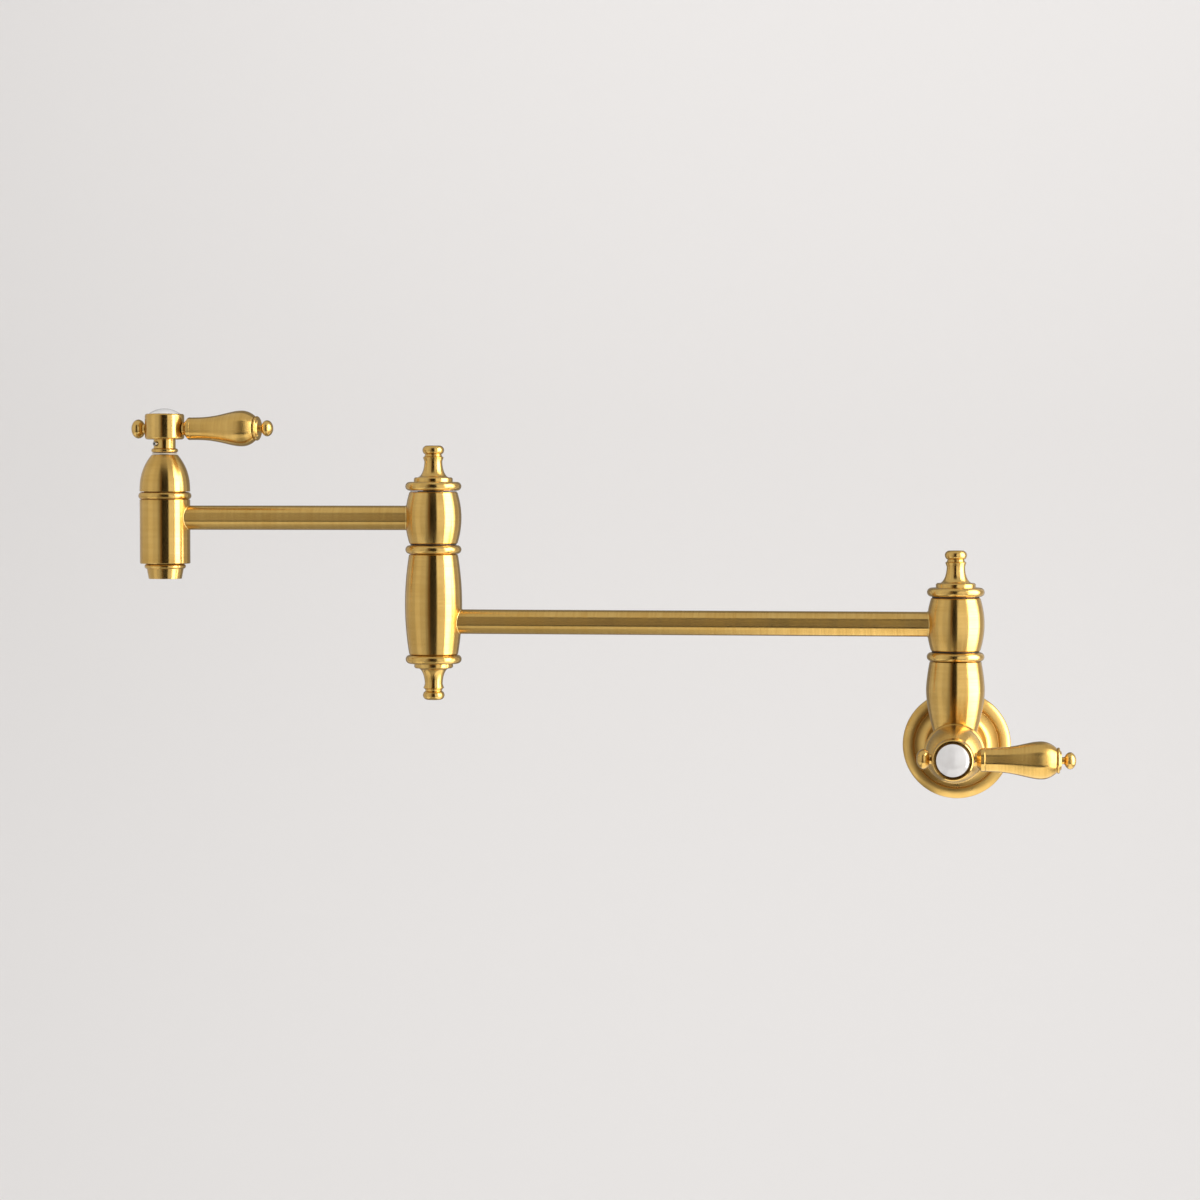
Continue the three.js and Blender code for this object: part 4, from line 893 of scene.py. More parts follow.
def screen_tree():
    """Six-sided cells side by side, kept where they lie inside the screen's ring."""
    sockets = [
        ("Diameter", "NodeSocketFloat", 0.02),
        ("Cell", "NodeSocketFloat", 0.002),
        ("Web", "NodeSocketFloat", 0.0004),
        ("Height", "NodeSocketFloat", 0.002),
        ("Rows", "NodeSocketInt", 11),
        ("Finish", "NodeSocketMaterial", None),
    ]
    tree, given = geometry_tree("aerator_screen", sockets)
    rows, pitch = given["Rows"], given["Cell"]
    size = {"Size X": 1.0, "Size Y": 1.0, "Vertices X": rows, "Vertices Y": rows}
    spots = add_node(tree, "GeometryNodeMeshGrid", size).outputs["Mesh"]
    index = add_node(tree, "GeometryNodeInputIndex").outputs[0]
    half = maths(tree, "MULTIPLY", maths(tree, "SUBTRACT", rows, 1.0), 0.5)
    up = maths(tree, "FLOOR", maths(tree, "DIVIDE", index, rows))
    across = maths(tree, "SUBTRACT", maths(tree, "FLOORED_MODULO", index, rows), half)
    shifted = maths(tree, "MULTIPLY_ADD", maths(tree, "FLOORED_MODULO", up, 2.0), 0.5, across)
    level = maths(tree, "MULTIPLY", maths(tree, "SUBTRACT", up, half), math.sqrt(3) / 2)
    grid = add_node(tree, "ShaderNodeCombineXYZ", {"X": shifted, "Y": level}).outputs[0]
    spot = add_node(tree, "ShaderNodeVectorMath", {0: grid, "Scale": pitch}, operation="SCALE").outputs[0]
    away = add_node(tree, "ShaderNodeVectorMath", {0: spot}, operation="LENGTH").outputs["Value"]
    reach = maths(tree, "MULTIPLY", maths(tree, "ADD", away, pitch), 2.0)
    width = maths(tree, "MULTIPLY", pitch, 1 / math.sqrt(3))
    corner = maths(tree, "SUBTRACT", width, maths(tree, "MULTIPLY", given["Web"], 0.6))
    inputs = {
        "Points": add_node(tree, "GeometryNodeSetPosition", {"Geometry": spots, "Position": spot}).outputs[0],
        "Selection": maths(tree, "LESS_THAN", reach, given["Diameter"]),
        "Instance": sweep(tree, circle(tree, 6, corner), oblong(tree, given["Web"], given["Height"])),
        "Rotation": (0, 0, math.pi / 6),
    }
    placed = add_node(tree, "GeometryNodeInstanceOnPoints", inputs)
    end_tree(tree, placed.outputs[0], given["Finish"])
    return tree


# ---- Pieces ----


class PieceOperator:
    """What the operators share."""

    bl_options = {"REGISTER", "UNDO"}


class PotFillerMakeFlange(PieceOperator, bpy.types.Operator):
    """Turn the stepped round plate that covers the pipe at the wall, and cut its foam gasket"""

    bl_idname = "pot_filler.make_flange"
    bl_label = "Flange"

    def execute(self, context):
        s, swivels = settings("flange"), settings("swivels")
        rim, bore = s.diameter / 2, settings("body").neck / 2 + swivels.clearance
        band = rim - s.band_width
        rise = s.band_height - s.rim_height
        cove = band - s.groove_width
        width, climb = cove - s.crown_diameter / 2, s.depth - s.cove_height
        inner_climb, slope = climb + s.wall, GROOVE_SLOPE * s.groove_width
        start = 180 + math.degrees(math.asin(s.wall / inner_climb))
        outline = [
            (rim, 0),
            *arc(band, s.rim_height, s.band_width, rise, 0, 90, FLANGE_STEPS),
            (band - slope, s.band_height - s.groove_depth),
            (cove + slope, s.band_height - s.groove_depth),
            *arc(cove, s.depth, width, climb, 270, 180, FLANGE_STEPS),
            (bore, s.depth),
            (bore, s.depth - s.wall),
            *arc(cove, s.depth, width + s.wall, inner_climb, start, 270, FLANGE_BACK_STEPS),
            *arc(band, s.rim_height, s.band_width - s.wall, rise - s.wall, 90, 0, FLANGE_BACK_STEPS),
            (rim - s.wall, 0),
        ]
        plate = turned("flange_plate", outline, OUT_OF_WALL, FLANGE_FACETS, FLANGE_SOFT)
        dress(plate, "wall_flange", "spun_brass")
        low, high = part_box("flange_gasket")
        outer, back = high.x - low.x, Matrix.Translation((0, high.y, 0)) @ OUT_OF_WALL
        sizes = outer, outer - 2 * s.gasket, high.y - low.y
        plain_ring("wall_gasket", "flange_gasket", sizes, back, "closed_cell_foam", RING_FACETS)
        return {"FINISHED"}


def cartridge_room(rim_top, throat_bottom, place, name):
    """What is cut away below a rim for a cartridge."""
    s, throat = settings("valves"), settings("body").throat
    top = rim_top + s.spigot_height + MM
    rooms = [
        (s.spigot / 2 - s.spigot_wall, rim_top, top),
        (s.chamber / 2, rim_top - s.chamber_depth, top),
        (throat / 2, throat_bottom, rim_top),
    ]
    return [drill(f"{name}_room_{i}", *room, place, ROOM_FACETS) for i, room in enumerate(rooms)]


class PotFillerMakeValveHousing(PieceOperator, bpy.types.Operator):
    """Cast and turn the housing that comes out of the wall, with its vase shaped post"""

    bl_idname = "pot_filler.make_valve_housing"
    bl_label = "Valve housing"

    def execute(self, context):
        s, swivels, valves = settings("body"), settings("swivels"), settings("valves")
        axis = axis_of("wall_swivel")
        up = Matrix.Translation((axis.x, axis.y, 0))
        shoulder = settings("flange").depth + swivels.clearance
        rim_bottom = s.front - s.rim_height
        barrel = [
            (0, s.inlet_face),
            (s.neck / 2, s.inlet_face),
            (s.neck / 2, shoulder),
            *barrel_side(shoulder, rim_bottom, s.end, s.full, swivels.edge),
            *bead(s.rim, rim_bottom, s.rim_height),
            (valves.spigot / 2, s.front),
            (valves.spigot / 2, s.front + valves.spigot_height),
            (0, s.front + valves.spigot_height),
        ]
        radii = (s.post_foot / 2, s.post_full / 2, s.post_top_diameter / 2)
        vase = swelling(0, s.post_top, s.post_full_height, radii, VASE_POWER, VASE_STEPS)
        post = turned("post", [(0, 0), *vase, (0, s.post_top)], up)
        socket_bottom = s.post_top - swivels.pin_thread - swivels.clearance
        socket = swivels.pin / 2 + swivels.clearance
        cuts = [
            drill("inlet", s.inlet / 2, 0, s.inlet_face + s.inlet_depth, OUT_OF_WALL, ROOM_FACETS),
            drill("pin_socket", socket, socket_bottom, s.post_top + MM, up, ROOM_FACETS),
            drill("riser", swivels.pin_bore / 2, 0, s.post_top, up),
            *cartridge_room(s.front, s.inlet_face, OUT_OF_WALL, "wall"),
        ]
        housing = carved(turned("valve_housing", barrel, OUT_OF_WALL), [post], cuts)
        dress(housing, "valve_body", "satin_brass_lathe_brushed")
        values = {
            "Hole Diameter": s.inlet,
            "Pitch": s.inlet_pitch,
            "Depth": s.inlet_depth - 2 * s.inlet_pitch,
            "Finish": finish("machined_brass"),
        }
        start = Matrix.Translation((0, -s.inlet_face - s.inlet_pitch, 0)) @ OUT_OF_WALL
        thread = grown("inlet_thread", thread_tree(), values, place=start)
        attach(thread, BODY_OF["valve_body"])
        return {"FINISHED"}


def swivel_pin(name, node):
    """The pin of a swivel: its bead shows, its shaft only in the gaps."""
    s = settings("swivels")
    shaft, cap = s.pin / 2, s.cap / 2
    shoulder = s.bead_height + 2 * s.gap + s.barrel_height - s.clearance
    bore_top = s.bead_height + s.gap + s.barrel_height / 2
    outline = [
        (0, bore_top),
        (s.pin_bore / 2, bore_top - s.pin_bore / 2),
        (s.pin_bore / 2, -s.pin_thread),
        (shaft, -s.pin_thread),
        (shaft, 0),
        *bead(s.bead, 0, s.bead_height),
        (shaft, s.bead_height),
        (shaft, shoulder),
        (cap, shoulder),
        (cap, shoulder + s.cap_length),
        (0, shoulder + s.cap_length),
    ]
    piece = turned(name, outline, upright(node, s.pin_thread))
    return dress(piece, node, "buffed_brass")


class PotFillerMakeSwivels(PieceOperator, bpy.types.Operator):
    """Turn the swivel pins and lay the sliding washers above and below the turning barrels"""

    bl_idname = "pot_filler.make_swivels"
    bl_label = "Swivel pins and washers"

    def execute(self, context):
        s = settings("swivels")
        for place in ("wall", "elbow"):
            swivel_pin(f"{place}_pivot_pin", f"{place}_swivel_spindle")
            for level in ("lower", "upper"):
                node = f"{place}_swivel_{level}_washer"
                low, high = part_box(node)
                sizes = s.washer, s.pin + 2 * s.clearance, high.z - low.z
                plain_ring(f"{place}_{level}_slip_washer", node, sizes, upright(node), "black_acetal")
        return {"FINISHED"}


def tube_holes(name, place):
    """The socket for a tube that enters along the place's Z, and its port into the bore."""
    arms, end = settings("arms"), settings("swivels").bead
    socket, floor = arms.tube / 2 + arms.fit, arms.stop - 2 * arms.fit
    return [
        drill(name + "_socket", socket, floor, end, place, SMALL_FACETS),
        drill(name + "_port", arms.port / 2, 0, arms.stop, place),
    ]


def brazing_seam(name, side, place, radius_at, body):
    """The fine bright bead where a tube enters a turned piece, whose radius at a height is radius_at."""
    arms = settings("arms")
    tube, count = arms.tube / 2, SEAM_STEPS
    points = []
    for i in range(count):
        angle = 2 * math.pi * i / count
        across, up = tube * math.cos(angle), tube * math.sin(angle)
        points.append((side * math.sqrt(radius_at(up) ** 2 - across**2), across, up))
    mesh = bpy.data.meshes.new(name + "_path")
    mesh.from_pydata(points, [(i, (i + 1) % count) for i in range(count)], [])
    values = {"Thickness": arms.seam, "Finish": finish("bright_brazing_metal")}
    seam = grown(name, seam_tree(), values, mesh, place)
    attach(seam, body)


def radius_of_barrel(full, end, middle, reach):
    """A barrel's radius at any height, from its middle's height and half its length."""
    return lambda height: full / 2 - (full - end) / 2 * ((height - middle) / reach) ** 2


class PotFillerMakeBarrels(PieceOperator, bpy.types.Operator):
    """Turn the two turning barrels and the elbow's lower barrel, bored for their tubes"""

    bl_idname = "pot_filler.make_barrels"
    bl_label = "Barrels"

    def execute(self, context):
        s = settings("swivels")
        half, bore = s.barrel_height / 2, s.pin / 2 + s.clearance
        outside = barrel_side(-half, half, s.barrel_end, s.barrel_full, s.edge)
        radius_at = radius_of_barrel(s.barrel_full, s.barrel_end, 0, half)
        turning = {"wall_turning_barrel": "wall_swivel_barrel", "elbow_turning_barrel": "elbow_upper_barrel"}
        for name, node in turning.items():
            low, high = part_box(node)
            joint = axis_of(name.split("_")[0] + "_swivel")
            place = Matrix.Translation((joint.x, joint.y, (low.z + high.z) / 2))
            holes = tube_holes(name, place @ BACK_ALONG_X)
            barrel = carved(turned(name, [*outside, (bore, half), (bore, -half)], place), cut=holes)
            dress(barrel, node, "satin_brass_lathe_brushed")
            brazing_seam(name + "_seam", -1, place, radius_at, BODY_OF[node])

        low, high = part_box("elbow_lower_barrel")
        joint = axis_of("elbow_swivel")
        place = Matrix.Translation((joint.x, joint.y, low.z + s.lower_drop))
        plug, thread_bottom = s.cap / 2 + s.clearance, s.lower_rise - s.pin_thread - s.clearance
        outline = [
            *barrel_side(-s.lower_drop, s.lower_rise, s.lower_end, s.lower_full, s.edge),
            (bore, s.lower_rise),
            (bore, thread_bottom),
            (plug, thread_bottom),
            (plug, -s.lower_drop),
        ]
        holes = tube_holes("elbow_lower", place @ ALONG_X)
        lower = carved(turned("elbow_fixed_barrel", outline, place), cut=holes)
        dress(lower, "elbow_lower_barrel", "satin_brass_lathe_brushed")
        middle, reach = (s.lower_rise - s.lower_drop) / 2, (s.lower_rise + s.lower_drop) / 2
        radius_at = radius_of_barrel(s.lower_full, s.lower_end, middle, reach)
        brazing_seam("elbow_fixed_barrel_seam", 1, place, radius_at, BODY_OF["elbow_lower_barrel"])
        return {"FINISHED"}


def finial_side():
    """A finial's outside, from the foot of its bead to the top of its knob."""
    s, swivels = settings("finial"), settings("swivels")
    foot = swivels.bead_height
    disc_top, neck_height = foot + s.disc_height, foot + s.neck_height
    flare, lip, top = (s.flare - s.neck) / 2, foot + s.lip_height, foot + s.height
    round_ = s.knob_height / 2
    return [
        *bead(swivels.bead, 0, foot),
        (s.disc / 2, foot),
        (s.disc / 2, disc_top - s.edge),
        (s.disc / 2 - s.edge, disc_top),
        *arc(s.neck / 2 + flare, neck_height, flare, neck_height - disc_top, -90, -180, NECK_STEPS),
        (s.lip / 2, lip),
        (s.groove / 2, lip + s.edge),
        *arc(s.knob / 2 - round_, top - round_, round_, round_, *KNOB_ARC, NECK_STEPS),
        (0, top),
    ]


class PotFillerMakeFinials(PieceOperator, bpy.types.Operator):
    """Turn the three finials: two cap nuts and the plug below the elbow"""

    bl_idname = "pot_filler.make_finials"
    bl_label = "Finials"

    def execute(self, context):
        s = settings("swivels")
        bore, bore_top = s.cap / 2 + s.clearance, s.cap_length + s.clearance
        cap = [(0, bore_top), (bore, bore_top), (bore, 0), *finial_side()]
        for name, node in (("wall_cap_nut", "wall_swivel_finial"), ("elbow_cap_nut", "elbow_top_finial")):
            dress(turned(name, cap, upright(node)), node, "buffed_brass")
        plug = [(0, -s.cap_length), (s.cap / 2, -s.cap_length), (s.cap / 2, 0), *finial_side()]
        node = "elbow_bottom_finial"
        low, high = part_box(node)
        place = upright(node, high.z - low.z - s.cap_length) @ UPSIDE_DOWN
        dress(turned("elbow_drop_finial", plug, place), node, "buffed_brass")
        return {"FINISHED"}


class PotFillerMakeArms(PieceOperator, bpy.types.Operator):
    """Cut both arm tubes to length"""

    bl_idname = "pot_filler.make_arms"
    bl_label = "Arm tubes"

    def execute(self, context):
        s = settings("arms")
        for name, node in (("long_arm_tube", "long_tube"), ("short_arm_tube", "short_tube")):
            low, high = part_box(node)
            place = along_x(low.x, axis_of("wall_swivel").y, (low.z + high.z) / 2)
            sizes = s.tube, s.tube - 2 * s.wall, high.x - low.x
            plain_ring(name, node, sizes, place, "satin_brass_lathe_brushed", RING_FACETS)
        return {"FINISHED"}


def hub_foot():
    """Height of a hub's foot above its valve's rim."""
    valves, handle = settings("valves"), settings("handle")
    return valves.height + valves.glide_space + handle.foot_height + handle.collar_height


def valve_places():
    """Each valve's rim, with Z out of it and X along its lever."""
    handle = settings("handle")
    rise, turn = hub_foot() + handle.lever_height, Matrix.Rotation(handle.spout_turn, 4, "Z")
    wall, spout = axis_of("wall_lever_turn"), axis_of("spout_lever_turn")
    return {
        "wall": Matrix.Translation(wall + Vector((0, rise, 0))) @ OUT_OF_WALL,
        "spout": Matrix.Translation(spout - Vector((0, 0, rise))) @ turn,
    }


class PotFillerMakeBonnets(PieceOperator, bpy.types.Operator):
    """Turn the bullet shaped bonnets and the pale rings that the handles glide on"""

    bl_idname = "pot_filler.make_bonnets"
    bl_label = "Bonnets and glide rings"

    def execute(self, context):
        s, clearance = settings("valves"), settings("swivels").clearance
        hole, crown = s.stem / 2 + 2 * clearance, s.height - s.crown
        for prefix, place in valve_places().items():
            base = (s.wall_bonnet if prefix == "wall" else s.spout_bonnet) / 2

            def radius_at(height):
                return base - (base - s.top / 2) * (height / s.height) ** s.curve

            shares = [1 - (1 - i / BONNET_STEPS) ** BONNET_CROWDING for i in range(BONNET_STEPS + 1)]
            outside = [clearance + (s.height - clearance) * share for share in shares]
            backwards = range(BONNET_BACK_STEPS, -1, -1)
            inside = [clearance + (crown - clearance) * i / BONNET_BACK_STEPS for i in backwards]
            outline = [
                *[(radius_at(h), h) for h in outside],
                (hole, s.height),
                (hole, crown),
                *[(radius_at(h) - s.shell, h) for h in inside],
            ]
            bonnet = turned(f"{prefix}_valve_bonnet", outline, place, soft=GRIP_SOFT)
            dress(bonnet, f"{prefix}_bonnet", "satin_brass_lathe_brushed")
            lift = place @ Matrix.Translation((0, 0, s.height + clearance))
            sizes = s.glide, 2 * hole, s.glide_space - 2 * clearance
            plain_ring(f"{prefix}_slip_ring", f"{prefix}_glide_ring", sizes, lift, "moulded_nylon")
        return {"FINISHED"}


def handle_hub(prefix, place, screw_turn):
    s, valves, clearance = settings("handle"), settings("valves"), settings("swivels").clearance
    lever = settings("lever")
    foot = valves.height + valves.glide_space
    collar_bottom = foot + s.foot_height
    bottom = collar_bottom + s.collar_height
    top = bottom + s.hub_height
    hub, seat, floor = s.hub / 2, s.hub / 2 - s.lip, top - s.seat_depth
    stem, room = valves.stem / 2 + clearance, s.stem_top + clearance
    stalk, edge = s.stalk / 2 + clearance, s.edge
    outline = [
        (0, room),
        (stem, room),
        (stem, foot),
        *bead(s.foot_ring, foot, s.foot_height),
        (s.collar / 2, collar_bottom),
        (s.collar / 2, bottom),
        *arc(hub - edge, bottom + edge, edge, edge, -90, 0, HUB_FOOT_STEPS),
        *[p for p in arc(hub - edge, top - edge, edge, edge, 0, 90, HUB_TOP_STEPS) if p[0] > seat],
        (seat, top - edge + math.sqrt(edge**2 - (edge - s.lip) ** 2)),
        (seat, floor),
        (stalk, floor),
        (stalk, floor - s.stalk_length),
        (0, floor - s.stalk_length),
    ]
    across = place @ (Matrix.Translation((0, 0, bottom + s.lever_height)) @ ALONG_X)
    middle = Matrix.Translation((0, 0, (collar_bottom + bottom) / 2))
    sideways = place @ (middle @ Matrix.Rotation(screw_turn, 4, "Z") @ ALONG_X)
    holes = [
        drill(f"{prefix}_stud_hole", lever.stud / 2 + clearance, -hub - MM, hub + MM, across),
        drill(f"{prefix}_screw_hole", s.screw / 2 + clearance / 2, 0, hub, sideways),
    ]
    knob = carved(turned(f"{prefix}_handle_knob", outline, place, soft=HUB_SOFT), cut=holes)
    dress(knob, f"{prefix}_handle_hub", "buffed_brass")
    reach, key = s.screw_reach, s.screw_socket / 2
    socket = drill(f"{prefix}_key_socket", key, reach - s.key_depth, reach + MM, sideways, KEY_FACETS)
    rod = bar(s.screw / 2, valves.stem / 2 + clearance, reach)
    grub = carved(turned(f"{prefix}_grub_screw", rod, sideways, HOLE_FACETS, GRIP_SOFT), cut=[socket])
    dress(grub, f"{prefix}_handle_set_screw", "turned_stainless_steel")


def porcelain_button(prefix, place):
    s, clearance = settings("handle"), settings("swivels").clearance
    top = hub_foot() + s.hub_height
    radius, foot = s.button / 2, top - s.seat_depth + clearance
    sphere = (radius**2 + s.dome**2) / (2 * s.dome)
    centre = top + s.dome - sphere
    edge = math.degrees(math.acos(radius / sphere))
    outline = [
        (0, foot - s.stalk_length),
        (s.stalk / 2, foot - s.stalk_length),
        (s.stalk / 2, foot),
        (radius, foot),
        *arc(0, centre, sphere, sphere, edge, 90, ROUND_STEPS)[:-1],
        (0, top + s.dome),
    ]
    button = turned(f"{prefix}_porcelain_cap", outline, place, soft=BUTTON_SOFT)
    dress(button, f"{prefix}_handle_button", "glazed_white_porcelain")


def lever_pieces(prefix, place):
    """Grip, tip and counter ball. place has Z along the lever, with height 0 at the hub's side."""
    s, clearance = settings("lever"), settings("swivels").clearance
    bore, collar, full = s.stud / 2 + clearance, s.collar / 2, s.full / 2
    start, ease = s.line + s.line_width / 2, 1 + s.swell / 3
    swell = []  # slow at first, and level where the grip is thickest
    for i in range(GRIP_STEPS + 1):
        t = i / GRIP_STEPS
        rise = t**s.swell * (ease - (ease - 1) * t**3)
        swell.append((collar + (full - collar) * rise, start + (s.full_at - start) * t))
    radii, face = (full, full, s.end / 2), s.end_at + clearance * TIP_GAP
    tail = swelling(s.full_at, s.end_at, s.full_at, radii, TAIL_POWER, TAIL_STEPS)[1:]
    grip = [
        (s.boss / 2, 0),
        (s.boss / 2, s.boss_length),
        (s.start / 2, s.boss_length),
        (collar, s.chamfer),
        (collar, s.line - s.line_width / 2),
        (collar - s.line_depth, s.line),
        *swell,
        *tail,
        (s.end / 2, face),
        (bore, face),
        (bore, 0),
    ]
    piece = turned(f"{prefix}_lever_handle", grip, place, soft=GRIP_SOFT)
    dress(piece, f"{prefix}_lever_grip", "satin_brass_lathe_brushed")
    step = s.ring_height + s.step_height
    neck_top = step + s.neck_length
    tip = [
        (0, s.socket),
        (bore, s.socket),
        (bore, 0),
        *bead(s.ring, 0, s.ring_height),
        (s.step / 2, s.ring_height),
        (s.step / 2 - s.step_slope, step),
        (s.neck / 2, step),
        (s.neck / 2, neck_top),
        *ball_side(s.ball, s.ball_length, neck_top),
    ]
    end = place @ Matrix.Translation((0, 0, s.end_at + clearance))
    finial = turned(f"{prefix}_lever_finial", tip, end, SMALL_FACETS)
    dress(finial, f"{prefix}_lever_tip", "buffed_brass")
    counter = [
        (0, -s.counter_stud),
        (s.stud / 2, -s.counter_stud),
        (s.stud / 2, 0),
        (s.counter_neck / 2, 0),
        (s.counter_neck / 2, s.counter_neck_length),
        *ball_side(s.counter_ball, s.counter_length, s.counter_neck_length),
    ]
    centre = Matrix.Translation((0, 0, -settings("handle").hub / 2 - clearance))
    other_side = place @ centre @ UPSIDE_DOWN @ centre.inverted()
    ball = turned(f"{prefix}_lever_ball", counter, other_side, SMALL_FACETS)
    dress(ball, f"{prefix}_counter_ball", "buffed_brass")


def ball_side(diameter, height, bottom):
    """A squat ball's outside, from its neck to the axis."""
    middle = bottom + height / 2
    return [*arc(0, middle, diameter / 2, height / 2, *BALL_ARC, ROUND_STEPS)[:-1], (0, bottom + height)]


class PotFillerMakeHandles(PieceOperator, bpy.types.Operator):
    """Turn both handles: hub, porcelain button, grub screw, grip, tip and counter ball"""

    bl_idname = "pot_filler.make_handles"
    bl_label = "Handles"

    def execute(self, context):
        s, clearance = settings("handle"), settings("swivels").clearance
        lever = along_x(s.hub / 2 + clearance, 0, hub_foot() + s.lever_height)
        screw_turns = {"wall": s.wall_screw, "spout": s.spout_screw}
        for prefix, place in valve_places().items():
            handle_hub(prefix, place, screw_turns[prefix])
            porcelain_button(prefix, place)
            lever_pieces(prefix, place @ lever)
        return {"FINISHED"}


class PotFillerMakeSpout(PieceOperator, bpy.types.Operator):
    """Turn the spout and its aerator, and mould the aerator's screen"""

    bl_idname = "pot_filler.make_spout"
    bl_label = "Spout and aerator"

    def execute(self, context):
        s, valves, swivels = settings("spout"), settings("valves"), settings("swivels")
        clearance = swivels.clearance
        joint = axis_of("spout_lever_turn")
        tube_low, tube_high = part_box("short_tube")
        place = Matrix.Translation((joint.x, joint.y, (tube_low.z + tube_high.z) / 2))
        radius, bead_bottom = s.diameter / 2, s.rim_top - s.bead_height
        foot = swivels.edge - s.bottom
        outline = [
            (0, -s.bottom),
            (radius - swivels.edge, -s.bottom),
            *[(radius, foot + (bead_bottom - foot) * i / SIDE_STEPS) for i in range(SIDE_STEPS + 1)],
            *bead(s.bead, bead_bottom, s.bead_height)[1:],
            (valves.spigot / 2, s.rim_top),
            (valves.spigot / 2, s.rim_top + valves.spigot_height),
            (0, s.rim_top + valves.spigot_height),
        ]
        below, room_top = -s.bottom - MM, s.socket_depth - s.bottom
        cuts = [
            drill("aerator_socket", s.socket / 2, below, room_top, place, SMALL_FACETS),
            *cartridge_room(s.rim_top, -s.bottom, place, "spout"),
            *tube_holes("spout", place @ ALONG_X),
        ]
        shell = carved(turned("spout_shell", outline, place), cut=cuts)
        dress(shell, "spout_body", "satin_brass_lathe_brushed")
        brazing_seam("spout_seam", 1, place, lambda height: radius, BODY_OF["spout_body"])

        top, bottom = -s.bottom - clearance, -s.bottom - s.height
        thread_top, lip = top + s.thread, s.bore / 2 - s.lip
        rim_bottom = top - s.ring_height
        ring = [
            (s.taper_bottom / 2, bottom),
            (s.taper_top / 2, rim_bottom),
            *bead(s.ring, rim_bottom, s.ring_height),
            (s.socket / 2 - clearance, top),
            (s.socket / 2 - clearance, thread_top),
            (s.bore / 2, thread_top),
            (s.bore / 2, bottom + s.lip_height),
            (lip, bottom + s.lip_height),
            (lip, bottom),
        ]
        dress(turned("outlet_ring", ring, place), "aerator_housing", "buffed_brass")

        foot = bottom + s.lip_height + clearance
        outer, cup_top = s.bore / 2 - clearance, thread_top - clearance
        cup_side = rectangle(outer, outer - s.cup_wall, foot, cup_top)
        cup = turned("outlet_screen", cup_side, place, SMALL_FACETS)
        values = {
            "Diameter": 2 * outer + s.cell,
            "Cell": s.cell,
            "Web": s.cell_wall,
            "Height": s.screen,
            "Rows": s.rows,
            "Finish": finish("moulded_nylon"),
        }
        lift = place @ Matrix.Translation((0, 0, foot + s.screen / 2))
        cells = grown("screen_cells", screen_tree(), values, place=lift)
        with context.temp_override(active_object=cup, selected_editable_objects=[cup, cells], object=cup):
            bpy.ops.object.join()
        dress(cup, "aerator_insert", "moulded_nylon")
        return {"FINISHED"}


SLOT_FINISHES = {
    "plain_brass": "machined_brass",
    "steel": "turned_stainless_steel",
    "valve_ceramic": "ground_alumina",
    "pale_plastic": "moulded_nylon",
    "slip_plastic": "black_acetal",
    "rubber": "nitrile_rubber",
    "porcelain": "glazed_white_porcelain",
    "brushed_brass": "machined_brass",
}


class PotFillerFinishHiddenPieces(PieceOperator, bpy.types.Operator):
    """Give the CAD pieces that stay, most of them inside, their own finishes"""

    bl_idname = "pot_filler.finish_hidden_pieces"
    bl_label = "Hidden pieces"

    def execute(self, context):
        for node, piece in frame["nodes"].items():
            if piece.hide_render:
                continue
            material = finish(SLOT_FINISHES[SLOT_OF[node]])
            for slot in piece.material_slots:
                slot.link = "OBJECT"
                slot.material = material
        return {"FINISHED"}


# ---- Stage ----

# Cards that only reflections show, each with its lowest and highest corner, its glow and its warmth.
# The pale ones make the light bands on the brass, and the dark ones make the stripes between them.
CARDS = {
    "card_window": ((1.9, -1.36, -1.2), (1.9, 0.42, 2.2), 5.0, 0),
    "card_window_edge": ((1.9, 0.42, -1.2), (1.9, 0.85, 2.2), 2.0, 0),
    "card_near_camera": ((-0.25, -1.31, -1.2), (0.178, -1.31, 1.7), 0.01, 1),
    "card_behind_camera": ((-0.6, -2.75, -1.24), (0.35, -2.75, 3.4), 0.01, 1),
    "card_high_dark": ((-1.2, -2.7, 1.75), (0.8, -2.7, 3.4), 0.05, 1),
    "card_near_left": ((-1.0, -2.76, -1.24), (-0.6, -2.76, 3.4), 0.2, 1),
    "card_far_left": ((-1.5, -2.77, -1.24), (-1.0, -2.77, 2.8), 0.42, 0),
    "card_front_right": ((0.35, -2.77, -1.24), (3.6, -2.77, 2.6), 1.1, 0),
    "card_left_glow": ((-1.9, -1.45, -1.2), (-1.9, -0.6, 2.2), 0.8, 0),
    "card_low_left": ((-2.4, -1.7, -1.2), (-1.1, 0.2, -1.2), 1.1, 0),
    "card_below_valve": ((-0.2, -0.75, -0.5), (0.5, 0.4, -0.5), 1.5, 0),
    "card_low_dark": ((-1.7, -2.7, -1.22), (1.2, -1.85, -1.22), 0.03, 0),
    "card_low_front": ((-2.4, -1.85, -1.22), (1.8, -0.75, -1.22), 0.62, 0),
    "card_low_middle": ((-2.4, -0.75, -1.22), (1.8, 0.85, -1.22), 0.38, 0),
    "card_at_back": ((-1.3, 0.9, -1.2), (0.3, 0.9, 2.2), 0.3, 0),
}
NEUTRAL = (1, 0.99, 0.97)
WARMTH = (0, 0.4, 0.7)  # what a warm card lacks of red, green and blue

# The floor's section in metres: its near edge, where it bends up, the bend and the height of the sweep
FLOOR_NEAR, FLOOR_FAR, FLOOR_BEND, SWEEP_HEIGHT, HALF_WIDTH = -6.0, 3.2, 1.6, 5.0, 12.0
SWEEP_STEPS = 16


